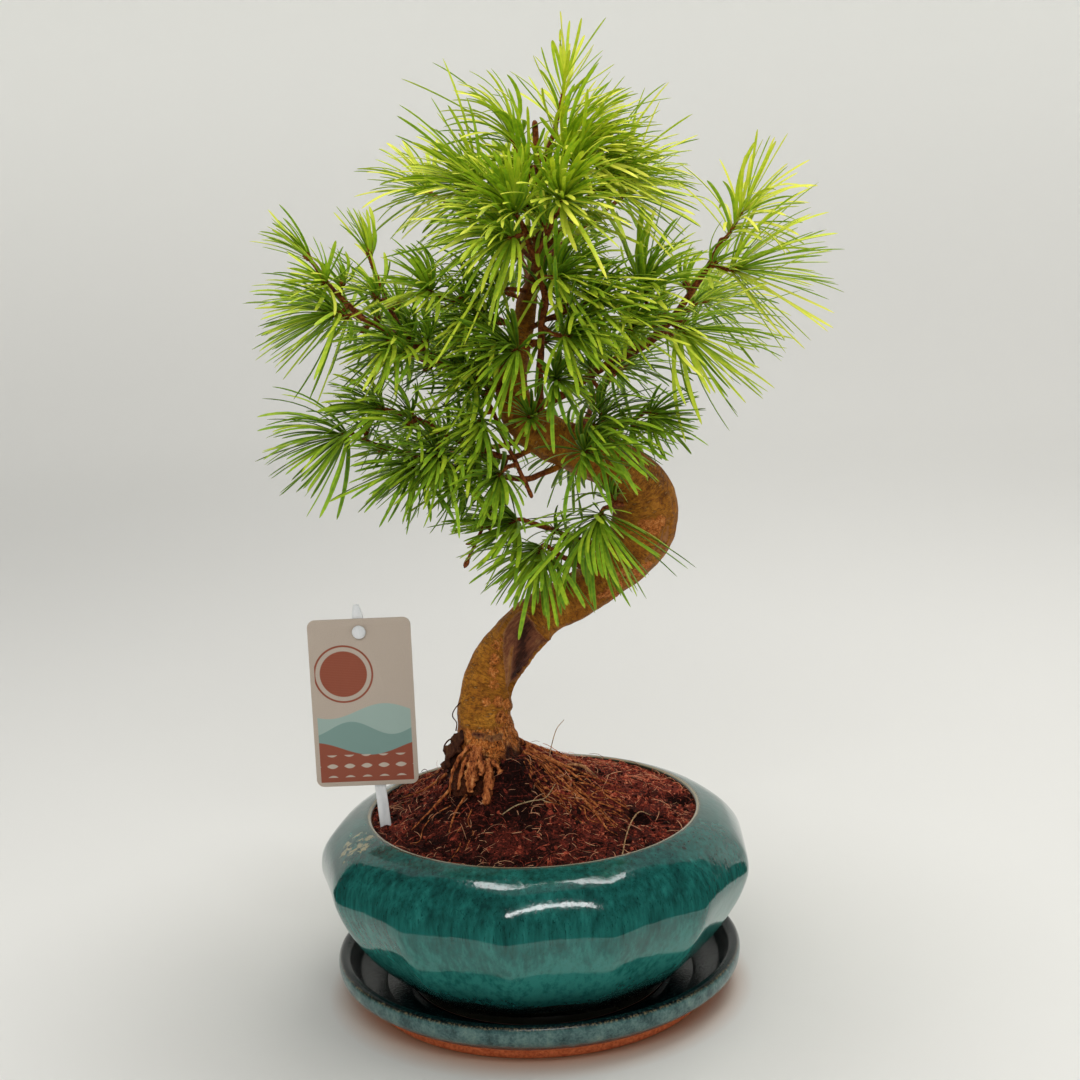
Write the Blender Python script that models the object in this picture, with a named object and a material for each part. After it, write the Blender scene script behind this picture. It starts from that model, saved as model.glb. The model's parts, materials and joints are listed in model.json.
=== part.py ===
"""Golden larch bonsai in a hand-faceted glazed bowl on its saucer, with a plain plant label.

Sizes are in millimetres and become metres when a mesh is made. The origin is the middle
of the saucer's underside, +Z is up, and the label stands on the front left, towards -Y.
The wood is one grown piece. Each spray is a short woody spur or a young shoot with its
needles, and sits a hair's breadth off the bough that carries it.
"""
import math
import random

import bmesh
import bpy
import numpy as np
from mathutils import Matrix, Vector
from mathutils.bvhtree import BVHTree

MM = 0.001
GAP = 0.3
UP = Vector((0.0, 0.0, 1.0))

# saucer
SAUCER_RIM_R = 75.2
SAUCER_FOOT_R = 63.8
SAUCER_RIM_Z = 17.3
SAUCER_FLOOR = 5.0
SAUCER_COLUMNS = 36

# pot
POT_BELLY_R = 80.6
POT_RIM_R = 62.4
POT_RIM_Z = 69.5
POT_FOOT_R = 48.0
POT_BASE_Z = SAUCER_FLOOR + GAP
POT_FACETS = 13
POT_COLUMNS = POT_FACETS * 3
POT_RIDGE_TURN = math.radians(-98)
POT_PRESS = 1.35
PRESS_START_Z = 9.0
PRESS_SPAN = 58.0
PRESS_FADE = 0.7
DRAIN_R = 6.0
LIP_R = 59.8

# soil
SOIL_GAP = 0.42
SOIL_EDGE_Z = 67.0
SOIL_BACK = 1.2
SOIL_RISE = 26.0
SOIL_CURVE = 1.25
SOIL_DIP = 0.16
SOIL_DIP_TURN = math.radians(-125)
SOIL_RINGS = (0.78, 0.56, 0.36, 0.18)
SOIL_SWELLS = ((3, 0.9, 0.6), (5, 0.6, 2.0))

# label
CARD_WIDTH = 37.0
CARD_HEIGHT = 62.5
CARD_THICK = 0.8
CARD_CORNER_R = 2.8
CARD_CENTRE = (-59.6, -12.0, 115.8)
CARD_HOLE_R = 2.0
CARD_HOLE_DROP = 4.8
PEG_R = 1.7
PEG_HEAD_R = 2.5
PEG_HEAD_THICK = 0.8
STAKE_WIDTH = 4.0
STAKE_THICK = 1.2
STAKE_TOP_Z = 152.0
STAKE_TIP_Z = 38.0
STAKE_LEAN = math.radians(4.2)

# tree
TREE_X = -16.0
TRUNK_SIDES = 13
ROOT_TOP_Z = 106.0
ROOT_SPAN = 24.0
ROOT_COUNT = 5
ROOT_REACH = 0.3
BOUGH_SIDES = 5
LIMB_SIDES = 6
LIMB_FROM_R = 1.6

# needles and the spurs that carry them
NEEDLE_WIDTH = 2.0
NEEDLE_THICK = 0.9
NEEDLE_CLEAR = 1.05
NEEDLE_BAR = 0.95
NEEDLE_LEAST_SLOPE = 0.34
SPUR_R = 1.15
SPUR_HEAD = ((0.6, 1.45), (2.4, 2.1), (4.0, 1.5))
SPUR_TIP = 0.9
SPUR_BEND_FROM = 2.0
SPUR_CURVE_FROM = 7.0
SEAT_STEP = 0.05
SEED = 417
TRIES = 26
LOOSE_START = 5.0
LOOSE_STEP = 0.9

# trunk: x, y, z and radius, from the buried root base to the cut leader
TRUNK = (
    (-16, 0, 60, 14.5), (-16, 0, 72, 17.0), (-16, 0, 82, 17.5), (-16, 0, 89, 14.2),
    (-16, 0, 96, 11.0), (-16.5, 0, 105, 9.8), (-15, 2, 115, 9.3), (-10.2, 4, 125, 9.4),
    (-2.2, 6, 134, 9.0), (7, 8, 141.5, 8.5), (18, 10, 146, 8.6), (29, 12, 152.5, 9.0),
    (38.5, 13, 161, 10.3), (44, 12, 170.5, 11.9), (44.5, 10, 181, 11.5), (39.5, 6, 191, 10.2),
    (30, 2, 198.5, 9.2), (20, -1, 204, 8.7), (10, -3, 209, 8.2), (2, -4, 216.5, 7.2),
    (-1.5, -4, 226, 5.8), (0, -2, 236, 4.7), (3, 0, 246.5, 3.9), (5.7, 2, 256.5, 3.3),
    (8.5, 2, 267, 2.8), (10.8, 2, 281, 2.3), (11.3, 2, 293, 2.0), (10.8, 1.5, 306, 1.8),
    (10.4, 1, 317, 1.7),
)

# boughs and twigs: start and end radius, then the route, which starts inside its parent
BOUGHS = {
    "front_shoot": (1.8, 1.1, ((6, -4, 213), (8, -11, 220), (9, -17, 241), (11, -21, 259),
                               (7, -25, 277), (5, -26, 284))),
    "front_top": (1.2, 1.0, ((8, -24, 272), (13, -29, 281), (16, -32, 288))),
    "right_bough": (2.5, 1.2, ((2, -4, 218), (16, -4, 223), (30, -4, 232), (46, -3, 240),
                               (56, -2, 249), (63, -1, 257), (71, 0, 269), (74, 1, 275))),
    "right_front": (1.5, 1.0, ((3, 0, 246), (12, -11, 251), (23, -20, 256))),
    "right_small": (1.5, 1.1, ((24, 0, 201), (30, -6, 210), (37, -9, 213), (43, -12, 216))),
    "top_right": (1.4, 1.0, ((10, 2, 279), (16, -5, 288), (21, -12, 298))),
    "top_side": (1.3, 1.0, ((9, 2, 271), (20, -4, 283), (28, -8, 292))),
    "apex_stem": (1.3, 1.1, ((11.3, 2, 294), (14, 2, 307), (16.6, 2, 313))),
    "top_left": (1.3, 1.0, ((11, 2, 289), (7, 1, 301), (4.5, 0, 307))),
    "upper_left": (1.4, 1.0, ((10, 2, 276), (1, -3, 288), (-6, -5, 294))),
    "left_upper": (1.4, 1.0, ((3, 0, 246), (-12, -9, 255), (-24, -14, 260))),
    "left_main": (2.3, 1.1, ((0, -4, 222), (-12, -8, 232), (-26, -9, 238), (-36, -9, 245),
                             (-44, -8, 249), (-54, -5, 255), (-62, -3, 263), (-67, -1, 270))),
    "left_second": (1.3, 1.0, ((-35, -9, 244), (-41, -3, 252), (-45, 0, 260), (-48, 2, 270))),
    "mid_left": (1.7, 1.1, ((8, -3, 206), (-3, -9, 203), (-17, -12, 208), (-32, -12, 217),
                            (-42, -10, 220.5))),
    "low_left": (1.8, 1.1, ((20, 0, 200), (4, -8, 195), (-10, -10, 197), (-28, -9, 202),
                            (-46, -5, 207), (-57, -1, 210.5))),
    "descending": (1.3, 1.0, ((-16, -9, 233), (-9, -15, 222), (-4, -17, 210), (1, -18, 198),
                              (4, -17, 190))),
    "bare_twig": (1.2, 0.9, ((-4, -9, 203), (-8, -13, 192), (-13, -15, 180), (-19, -14, 168))),
    "lower_left": (1.5, 1.1, ((34, 9, 164), (14, -6, 174), (7, -10, 178), (2, -12, 180))),
    "low_centre": (1.5, 1.1, ((29, 8, 154), (19, -7, 163), (10, -13, 170))),
    "hanging": (1.4, 1.1, ((40, 5, 182), (34, -8, 184), (31, -12, 184))),
    "centre_low": (1.4, 1.1, ((20, -3, 204), (22, -12, 205), (23, -18, 205.5))),
    "back_right": (1.9, 1.1, ((22, 0, 203), (26, 18, 214), (33, 35, 221), (38, 47, 224))),
    "back_left": (1.8, 1.1, ((0, -3, 221), (-12, 15, 226), (-26, 32, 230), (-35, 43, 232))),
    "back_mid": (1.7, 1.1, ((3, 0, 246), (2, 16, 254), (6, 34, 262), (4, 50, 267))),
    "back_high_right": (1.5, 1.0, ((9, 2, 268), (20, 14, 276), (31, 24, 283), (39, 33, 288))),
    "back_high_left": (1.5, 1.0, ((9, 2, 270), (-3, 14, 280), (-16, 25, 287), (-25, 31, 292))),
    "right_back": (1.5, 1.0, ((42, -4, 238), (52, 12, 243), (61, 26, 247), (67, 36, 249))),
    "left_back": (1.5, 1.0, ((-28, -9, 239), (-38, 8, 244), (-49, 21, 248), (-57, 29, 250))),
    "low_back": (1.6, 1.1, ((40, 8, 188), (38, 24, 190), (31, 39, 192), (23, 51, 193.5))),
    "low_back_left": (1.6, 1.1, ((12, -2, 208), (-3, 14, 204), (-15, 27, 200),
                                 (-27, 37, 198.5))),
}

# forms of a spray: how far the outer, middle and top needles lean from its axis, in degrees
FORMS = {
    "rosette": (84, 58, 24),
    "open": (84, 52, 24),
    "brush": (46, 30, 12),
    "shoot": (58, 44, 18),
}

# sprays: bough, place of the needles' ring, way it faces, form, needle length, droop
SPRAYS = {
    "spray_left_tip": ("left_main", (-69.5, 0, 273.5), (-0.62, 0, 0.78), "brush", 21, 0.1),
    "spray_left_fan": ("left_main", (-60, -8, 256), (-0.85, -0.3, -0.1), "rosette", 33, 0.5),
    "spray_left_face": ("left_main", (-64, -8, 266), (-0.2, -0.9, 0.35), "rosette", 20, 0.4),
    "spray_left_inner": ("left_main", (-42, -14, 247), (-0.4, -0.6, -0.6), "rosette", 24, 0.5),
    "spray_second_tip": ("left_second", (-49, 2, 273.5), (-0.15, 0, 1), "brush", 18, 0.1),
    "spray_second_side": ("left_second", (-47, -6, 260), (-0.2, -0.8, 0.5), "rosette", 17, 0.3),
    "spray_left_upper": ("left_upper", (-27, -16, 262), (-0.5, -0.6, 0.5), "rosette", 23, 0.4),
    "spray_sweep": ("front_shoot", (2, -31, 281), (-0.85, -0.5, 0.0), "rosette", 38, 0.4),
    "spray_shoot_top": ("front_shoot", (3, -28, 288), (-0.5, -0.45, 0.7), "rosette", 30, 0.4),
    "spray_upper_left": ("upper_left", (-9.3, -6, 296), (-0.88, -0.05, 0.42), "rosette", 33, 0.3),
    "spray_top_left": ("top_left", (3.3, 0, 310.5), (-0.33, 0, 0.94), "brush", 34, 0.25),
    "spray_apex": ("apex_stem", (17.6, 2, 316), (0.24, 0, 0.97), "shoot", 26, 0.25),
    "spray_top_right": ("top_right", (23.5, -16, 302), (0.5, -0.5, 0.7), "rosette", 33, 0.5),
    "spray_top_side": ("top_side", (32, -10, 295), (0.9, -0.2, 0.35), "rosette", 38, 0.5),
    "spray_dome_right": ("top_right", (20, -5, 306), (0.75, 0.0, 0.66), "rosette", 37, 0.4),
    "spray_right_upper": ("right_bough", (46, -9, 258), (0.1, -0.5, 0.85), "rosette", 32, 0.5),
    "spray_top_front": ("front_top", (18, -35, 292), (0.25, -0.9, 0.35), "rosette", 30, 0.5),
    "spray_front_right": ("front_shoot", (15, -30, 267), (0.7, -0.7, 0.1), "rosette", 28, 0.5),
    "spray_right_front": ("right_front", (26.5, -23, 257.5), (0.65, -0.75, 0.1), "rosette", 30, 0.5),
    "spray_right_mid": ("right_bough", (40, -13, 246), (0.4, -0.7, 0.6), "rosette", 27, 0.5),
    "spray_right_tip": ("right_bough", (76, 1, 276), (0.55, 0, 0.83), "shoot", 34, 0.7),
    "spray_right_gold": ("right_bough", (76, -5, 265), (0.95, -0.25, 0.1), "rosette", 43, 0.25),
    "spray_right_low": ("right_bough", (57.5, -8, 246), (0.75, -0.4, -0.45), "rosette", 40, 0.3),
    "spray_right_small": ("right_small", (46, -14, 217.5), (0.8, -0.4, -0.3), "rosette", 19, 0.4),
    "spray_right_droop": ("trunk", (25, -15, 214), (0.85, -0.45, -0.25), "rosette", 33, 0.5),
    "spray_centre_face": ("centre_low", (23.3, -22, 206), (0.05, -1, 0.05), "rosette", 25, 0.4),
    "spray_trunk_face": ("trunk", (5, -17, 218), (-0.1, -1, 0.1), "rosette", 17, 0.3),
    "spray_front_low": ("front_shoot", (14, -25, 232), (0.2, -0.95, 0.0), "rosette", 22, 0.4),
    "spray_front_fan": ("front_shoot", (17, -28, 247), (0.75, -0.6, 0.1), "rosette", 30, 0.5),
    "spray_front_left": ("front_shoot", (2, -27, 243), (-0.8, -0.6, 0.0), "rosette", 28, 0.5),
    "spray_descend_side": ("descending", (-12, -20, 219), (-0.3, -0.6, -0.75), "rosette", 24, 0.4),
    "spray_mid_face": ("mid_left", (-28.5, -19, 207), (-0.15, -0.9, -0.4), "rosette", 26, 0.4),
    "spray_descend_tip": ("descending", (-6, -22, 200), (-0.5, -0.7, -0.5), "rosette", 24, 0.4),
    "spray_low_fan": ("low_left", (-60, 0, 212), (-0.85, -0.1, -0.3), "rosette", 38, 0.35),
    "spray_low_inner": ("low_left", (-37, -15, 203), (-0.3, -0.75, -0.5), "rosette", 25, 0.4),
    "spray_mid_left": ("mid_left", (-46, -9, 221.5), (-0.95, -0.2, 0.1), "rosette", 24, 0.4),
    "spray_main_high": ("left_main", (-30, -15, 244), (-0.1, -0.7, 0.7), "rosette", 18, 0.4),
    "spray_main_low": ("left_main", (-19, -15, 236), (0.1, -0.9, 0.1), "rosette", 18, 0.5),
    "spray_lower_left": ("lower_left", (-1, -13, 181), (-0.85, -0.3, -0.3), "rosette", 26, 0.4),
    "spray_low_centre": ("low_centre", (7, -15, 171.5), (-0.5, -0.4, -0.75), "rosette", 29, 0.3),
    "spray_hanging": ("hanging", (28.5, -15, 183), (-0.3, -0.5, -0.8), "rosette", 36, 0.3),
    "spray_back_right": ("back_right", (40, 52, 225), (0.5, 0.8, 0.1), "open", 34, 0.5),
    "spray_back_right_top": ("back_right", (28, 30, 226), (0.0, 0.4, 0.9), "open", 26, 0.4),
    "spray_back_left": ("back_left", (-38, 47, 233), (-0.6, 0.75, 0.1), "open", 34, 0.5),
    "spray_back_left_top": ("back_left", (-20, 27, 236), (-0.1, 0.3, 0.95), "open", 26, 0.4),
    "spray_back_mid": ("back_mid", (3.5, 54, 268.5), (0.0, 0.95, 0.2), "open", 34, 0.5),
    "spray_back_mid_side": ("back_mid", (12, 30, 266), (0.6, 0.4, 0.6), "open", 28, 0.4),
    "spray_back_high_right": ("back_high_right", (42, 36, 290), (0.6, 0.6, 0.45), "open", 32, 0.5),
    "spray_back_high_left": ("back_high_left", (-28, 34, 293.5), (-0.6, 0.6, 0.4), "open", 32, 0.5),
    "spray_back_top": ("back_high_left", (-4, 19, 289), (0.2, 0.4, 0.9), "open", 28, 0.4),
    "spray_right_back": ("right_back", (70, 40, 250), (0.7, 0.7, 0.05), "open", 34, 0.5),
    "spray_left_back": ("left_back", (-60, 32, 251), (-0.8, 0.55, 0.1), "open", 34, 0.5),
    "spray_low_back": ("low_back", (20, 55, 194), (-0.2, 0.85, -0.35), "open", 32, 0.3),
    "spray_low_back_left": ("low_back_left", (-30, 40, 198), (-0.6, 0.7, -0.25), "open", 34, 0.3),
}
SHOOT_STEM = {"spray_apex": 19.5, "spray_right_tip": 14.0}
SHOOT_BANDS = 4
CORE_SIDES = 5


# Small helpers

def clear_scene():
    """Remove whatever the open file holds."""
    for item in list(bpy.data.objects):
        bpy.data.objects.remove(item, do_unlink=True)


def make_material(name, colour, roughness, metallic=0.0):
    """A plain Principled material."""
    material = bpy.data.materials.new(name)
    material.use_nodes = True
    shader = material.node_tree.nodes["Principled BSDF"]
    shader.inputs["Base Color"].default_value = (*colour, 1.0)
    shader.inputs["Roughness"].default_value = roughness
    shader.inputs["Metallic"].default_value = metallic
    return material


def add_object(name, points, faces, material=None, smooth=True):
    """A mesh object from points in millimetres."""
    mesh = bpy.data.meshes.new(name)
    mesh.from_pydata([tuple(c * MM for c in p) for p in points], [], faces)
    mesh.update()
    if smooth:
        mesh.shade_smooth()
        mesh.set_sharp_from_angle(angle=math.radians(40))
    item = bpy.data.objects.new(name, mesh)
    bpy.context.scene.collection.objects.link(item)
    if material:
        mesh.materials.append(material)
    return item


def combine(item, others, operation):
    """Join the others to the item, or cut them from it, in one Boolean, and remove them."""
    group = bpy.data.collections.new("tools")
    bpy.context.scene.collection.children.link(group)
    for other in others:
        bpy.context.scene.collection.objects.unlink(other)
        group.objects.link(other)
    cut = item.modifiers.new("combine", "BOOLEAN")
    cut.operand_type = "COLLECTION"
    cut.collection = group
    cut.operation = operation
    cut.solver = "MANIFOLD"
    graph = bpy.context.evaluated_depsgraph_get()
    mesh = bpy.data.meshes.new_from_object(item.evaluated_get(graph))
    item.modifiers.clear()
    old = item.data
    item.data = mesh
    mesh.name = item.name
    bpy.data.meshes.remove(old)
    for other in list(group.objects):
        bpy.data.objects.remove(other, do_unlink=True)
    bpy.data.collections.remove(group)


def across(direction):
    """Two unit vectors square to a direction and to each other."""
    guide = UP if abs(direction.z) < 0.9 else Vector((1.0, 0.0, 0.0))
    side = direction.cross(guide).normalized()
    return side, direction.cross(side).normalized()


def ring_frames(points):
    """A steady pair of cross directions at each point of a path, without twist."""
    last = len(points) - 1
    ways = [(points[min(i + 1, last)] - points[max(i - 1, 0)]).normalized()
            for i in range(last + 1)]
    side, _ = across(ways[0])
    frames = []
    for way in ways:
        side = (side - way * side.dot(way)).normalized()
        frames.append((way, side, way.cross(side)))
    return frames


def smooth_route(points, spans):
    """Points on a smooth curve through the route, with a number of spans between each two."""
    knots = [Vector(p) for p in points]
    knots = [knots[0] * 2 - knots[1]] + knots + [knots[-1] * 2 - knots[-2]]
    route = []
    for a, b, c, d in zip(knots, knots[1:], knots[2:], knots[3:]):
        for k in range(spans):
            t = k / spans
            route.append(0.5 * (2 * b + (c - a) * t + (2 * a - 5 * b + 4 * c - d) * t * t
                                + (3 * b - a - 3 * c + d) * t ** 3))
    route.append(knots[-2])
    return route


def tube(name, points, radii, sides, shape=None):
    """A closed round bar along a path, its radius changed by shape(angle, point)."""
    corners = []
    for point, radius, (_, side, other) in zip(points, radii, ring_frames(points)):
        for k in range(sides):
            turn = math.tau * k / sides
            reach = radius * (shape(turn, point) if shape else 1.0)
            corners.append(point + side * reach * math.cos(turn) + other * reach * math.sin(turn))
    faces = []
    for i in range(len(points) - 1):
        for k in range(sides):
            near, far = i * sides, (i + 1) * sides
            nxt = (k + 1) % sides
            faces.append((near + k, near + nxt, far + nxt, far + k))
    faces.append(tuple(range(sides - 1, -1, -1)))
    faces.append(tuple(range(len(corners) - sides, len(corners))))
    return add_object(name, corners, faces)


def skin(rows, columns, closed=False):
    """Faces between rings of corner numbers, where a ring of one is a pole."""
    pairs = list(zip(rows, rows[1:]))
    if closed:
        pairs.append((rows[-1], rows[0]))
    faces = []
    for low, high in pairs:
        for k in range(columns):
            nxt = (k + 1) % columns
            face = [low[k % len(low)], low[nxt % len(low)], high[nxt % len(high)],
                    high[k % len(high)]]
            faces.append(tuple(dict.fromkeys(face)))
    return faces


# Pot, saucer and soil

def turned(name, profile, columns, material, closed, reach=None):
    """A turned solid from a profile of (radius, height), a ring where closed, else with poles.

    The profile runs so that the solid lies on its left. reach(row, angle, radius, height)
    changes the radius.
    """
    corners, rows = [], []
    for row, (radius, height) in enumerate(profile):
        if radius == 0:
            rows.append([len(corners)])
            corners.append((0.0, 0.0, height))
            continue
        rows.append(list(range(len(corners), len(corners) + columns)))
        for k in range(columns):
            turn = POT_RIDGE_TURN + math.tau * k / columns
            away = reach(row, turn, radius, height) if reach else radius
            corners.append((away * math.cos(turn), away * math.sin(turn), height))
    return add_object(name, corners, skin(rows, columns, closed), material)


def build_saucer():
    """The saucer: flat unglazed foot, flared wall, rounded crest and a stepped floor."""
    crest = SAUCER_RIM_R - 2.6
    profile = [
        (0, 0), (SAUCER_FOOT_R, 0), (SAUCER_FOOT_R + 0.8, 4.0), (SAUCER_FOOT_R + 3.0, 4.8),
        (SAUCER_RIM_R - 1.4, 10.0), (SAUCER_RIM_R, 14.2), (SAUCER_RIM_R - 0.7, 16.6),
        (crest, SAUCER_RIM_Z), (crest - 2.2, 15.6), (crest - 4.8, 9.5), (crest - 8.5, 7.2),
        (59.0, 6.6), (57.5, SAUCER_FLOOR), (0, SAUCER_FLOOR),
    ]
    glaze = make_material("dark saucer glaze", (0.05, 0.055, 0.06), 0.2)
    return turned("saucer", profile, SAUCER_COLUMNS, glaze, closed=False)


def facet_reach(turn, radius, height):
    """Press the round wall to flat facets, fully at the belly and not at rim and foot."""
    step = math.tau / POT_FACETS
    off = (turn - POT_RIDGE_TURN + step / 2) % step - step / 2
    flat = math.cos(step / 2) / math.cos(step / 2 - abs(off))
    share = min(max((height - PRESS_START_Z) / PRESS_SPAN, 0), 1)
    depth = math.sin(math.pi * share) ** PRESS_FADE
    return radius * (1 - depth * (1 - flat) * POT_PRESS)


POT_WALL = [
    (POT_FOOT_R, POT_BASE_Z), (POT_FOOT_R + 1.0, 9.5), (57.0, 14.0), (67.0, 23.5), (75.5, 35.5),
    (79.8, 45.0), (POT_BELLY_R, 51.0), (78.6, 57.3), (73.0, 63.9), (67.1, 67.5),
    (POT_RIM_R, POT_RIM_Z),
]
POT_LIP = [(LIP_R, POT_RIM_Z - 0.6), (LIP_R, POT_RIM_Z - 4.5)]
POT_INSIDE = [(66.0, 61.0), (74.0, 53.0), (73.0, 42.0), (62.0, 26.5), (46.0, 14.5)]
FOOT_RING = 5.0
FOOT_HOLLOW = 2.2


def build_pot():
    """The bowl: foot ring, faceted belly, incurved rim, hollow inside and a drain hole."""
    under = POT_BASE_Z + FOOT_HOLLOW
    floor = [(DRAIN_R, POT_INSIDE[-1][1]), (DRAIN_R, under), (POT_FOOT_R - FOOT_RING, under),
             (POT_FOOT_R - FOOT_RING, POT_BASE_Z)]

    def reach(row, turn, radius, height):
        return facet_reach(turn, radius, height) if row < len(POT_WALL) else radius

    glaze = make_material("teal glaze", (0.01, 0.16, 0.16), 0.15)
    return turned("pot", POT_WALL + POT_LIP + POT_INSIDE + floor, POT_COLUMNS, glaze,
                  closed=True, reach=reach)


def inset(profile, gap):
    """A profile moved by a gap to its left, corner by corner."""
    moved = []
    for i, (radius, height) in enumerate(profile):
        before, after = profile[max(i - 1, 0)], profile[min(i + 1, len(profile) - 1)]
        along, rise = after[0] - before[0], after[1] - before[1]
        size = math.hypot(along, rise)
        moved.append((radius - rise / size * gap, height + along / size * gap))
    return moved


def soil_height(share, turn):
    """Height of the mound, by the share of the way from the trunk to the bowl's wall."""
    swell = sum(size * math.sin(waves * turn + start) for waves, size, start in SOIL_SWELLS)
    ripple = swell * math.sin(math.pi * share)
    rise = SOIL_RISE * (1 - SOIL_DIP * math.cos(turn - SOIL_DIP_TURN))
    edge = SOIL_EDGE_Z + SOIL_BACK * math.sin(turn)
    return edge + rise * (1 - share) ** SOIL_CURVE + ripple


def build_soil():
    """The potting mix: the bowl's filling and the mound up to the trunk."""
    columns = POT_COLUMNS
    turns = [POT_RIDGE_TURN + math.tau * k / columns for k in range(columns)]
    corners, rows = [(0.0, 0.0, POT_INSIDE[-1][1] + GAP)], [[0]]
    wall = inset([*reversed(POT_INSIDE), POT_LIP[-1]], SOIL_GAP)
    for radius, height in wall:
        rows.append(list(range(len(corners), len(corners) + columns)))
        corners += [(radius * math.cos(turn), radius * math.sin(turn), height)
                    for turn in turns]
    for share in (1.0, *SOIL_RINGS):
        rows.append(list(range(len(corners), len(corners) + columns)))
        for turn in turns:
            away = share * (LIP_R - SOIL_GAP)
            corners.append((TREE_X * (1 - share) + away * math.cos(turn), away * math.sin(turn),
                            soil_height(share, turn)))
    rows.append([len(corners)])
    corners.append((TREE_X, 0.0, soil_height(0.12, 0.0)))
    coir = make_material("coir potting mix", (0.2, 0.06, 0.025), 0.95)
    soil = add_object("soil", corners, skin(rows, columns), coir)
    root_hole = trunk_tube("root hole", extra=GAP, top=8)
    stake_hole = stake_blade("stake hole", extra=GAP)
    combine(soil, [root_hole, stake_hole], "DIFFERENCE")
    return soil


# Label

def rounded_card(width, height, corner, steps=4):
    """The outline of a card with round corners, as (across, up) points."""
    outline = []
    for k, (sx, sz) in enumerate(((1, 1), (-1, 1), (-1, -1), (1, -1))):
        for j in range(steps + 1):
            turn = math.pi / 2 * (k + j / steps)
            outline.append((sx * (width / 2 - corner) + corner * math.cos(turn),
                            sz * (height / 2 - corner) + corner * math.sin(turn)))
    return outline


def plate(name, outline, thick, place, lean=0.0):
    """An upright plate from an outline in the XZ plane, its front face at place, thick to +Y."""
    turned_out = [(x * math.cos(lean) + z * math.sin(lean), z * math.cos(lean) - x * math.sin(lean))
                  for x, z in outline]
    count = len(outline)
    front = [(place[0] + x, place[1], place[2] + z) for x, z in turned_out]
    back = [(x, y + thick, z) for x, y, z in front]
    faces = [tuple(range(count)), tuple(range(2 * count - 1, count - 1, -1))]
    faces += [(k, count + k, count + (k + 1) % count, (k + 1) % count) for k in range(count)]
    item = add_object(name, front + back, faces, smooth=False)
    mesh = bmesh.new()
    mesh.from_mesh(item.data)
    bmesh.ops.recalc_face_normals(mesh, faces=mesh.faces)
    mesh.to_mesh(item.data)
    mesh.free()
    return item


def peg(name, radius, front_y, back_y, sides=16):
    """A round bar along Y through the card's hole."""
    centre = hole_centre()
    points = [Vector((centre[0], front_y, centre[1])), Vector((centre[0], back_y, centre[1]))]
    return tube(name, points, [radius, radius], sides)


def hole_centre():
    """Middle of the card's hole, as (x, z)."""
    return CARD_CENTRE[0], CARD_CENTRE[2] + CARD_HEIGHT / 2 - CARD_HOLE_DROP


def build_card():
    """The plant label: a thin card with round corners and a hole for the stake's peg."""
    card = plate("label_card", rounded_card(CARD_WIDTH, CARD_HEIGHT, CARD_CORNER_R), CARD_THICK,
                 CARD_CENTRE)
    hole = peg("hole", CARD_HOLE_R, CARD_CENTRE[1] - 2, CARD_CENTRE[1] + 3)
    combine(card, [hole], "DIFFERENCE")
    card.data.materials.clear()
    card.data.materials.append(make_material("label card", (0.75, 0.62, 0.56), 0.5))
    return card


def stake_blade(name, extra=0.0):
    """The stake's blade with a tapered top and a pointed foot, thickened by extra all round."""
    half = STAKE_WIDTH / 2 + extra
    centre = hole_centre()
    top = STAKE_TOP_Z - centre[1] + extra
    foot = STAKE_TIP_Z - centre[1] - extra * 3
    outline = [(half, foot + 9), (half, top - 4), (half * 0.45, top), (-half * 0.45, top),
               (-half, top - 4), (-half, foot + 9), (0, foot)]
    front = CARD_CENTRE[1] + CARD_THICK + GAP - extra
    return plate(name, outline, STAKE_THICK + 2 * extra, (centre[0], front, centre[1]),
                 lean=-STAKE_LEAN)


def build_stake():
    """The frosted stake with the headed peg that holds the card."""
    stake = stake_blade("label_stake")
    front = CARD_CENTRE[1]
    shank = peg("shank", PEG_R, front - GAP - 0.1, front + CARD_THICK + GAP + STAKE_THICK / 2)
    head = peg("head", PEG_HEAD_R, front - GAP - PEG_HEAD_THICK, front - GAP)
    combine(stake, [shank, head], "UNION")
    stake.data.materials.clear()
    stake.data.materials.append(make_material("frosted plastic", (0.85, 0.85, 0.86), 0.35))
    return stake


# Wood

def root_shape(turn, point):
    """The trunk's cross-section: roots that spread at the foot, and shallow swellings above."""
    spread = min(max((ROOT_TOP_Z - point.z) / ROOT_SPAN, 0), 1)
    roots = ROOT_REACH * spread * (0.5 + 0.5 * math.cos(ROOT_COUNT * turn + 0.7)) ** 2
    swell = 0.035 * math.sin(2 * turn + point.z / 11) + 0.025 * math.sin(3 * turn - point.z / 7)
    return 1 - 0.1 * spread + roots + swell * (1 - 0.5 * spread)


def trunk_tube(name, extra=0.0, top=None):
    """The trunk, or its lower rings made thicker by extra."""
    rows = TRUNK[:top]
    points = [Vector(row[:3]) for row in rows]
    if extra:
        points[0] = points[0] - UP * extra
    radii = [row[3] + extra * 1.25 for row in rows]
    return tube(name, points, radii, TRUNK_SIDES, root_shape)


def bough_points(name):
    """Points and radii along a bough."""
    if name == "trunk":
        return [Vector(row[:3]) for row in TRUNK], [row[3] * 1.04 for row in TRUNK]
    start, end, route = BOUGHS[name]
    points = smooth_route(route, 1)
    last = len(points) - 1
    return points, [start + (end - start) * i / last for i in range(last + 1)]


def build_wood():
    """Roots, trunk, boughs and twigs as one grown piece."""
    wood = trunk_tube("tree_wood")
    limbs = [tube(name, *bough_points(name), LIMB_SIDES if row[0] > LIMB_FROM_R else BOUGH_SIDES)
             for name, row in BOUGHS.items()]
    combine(wood, limbs, "UNION")
    wood.data.materials.clear()
    wood.data.materials.append(make_material("larch bark", (0.34, 0.2, 0.08), 0.75))
    wood.data.shade_smooth()
    return wood


# Clearance between what grows

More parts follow.
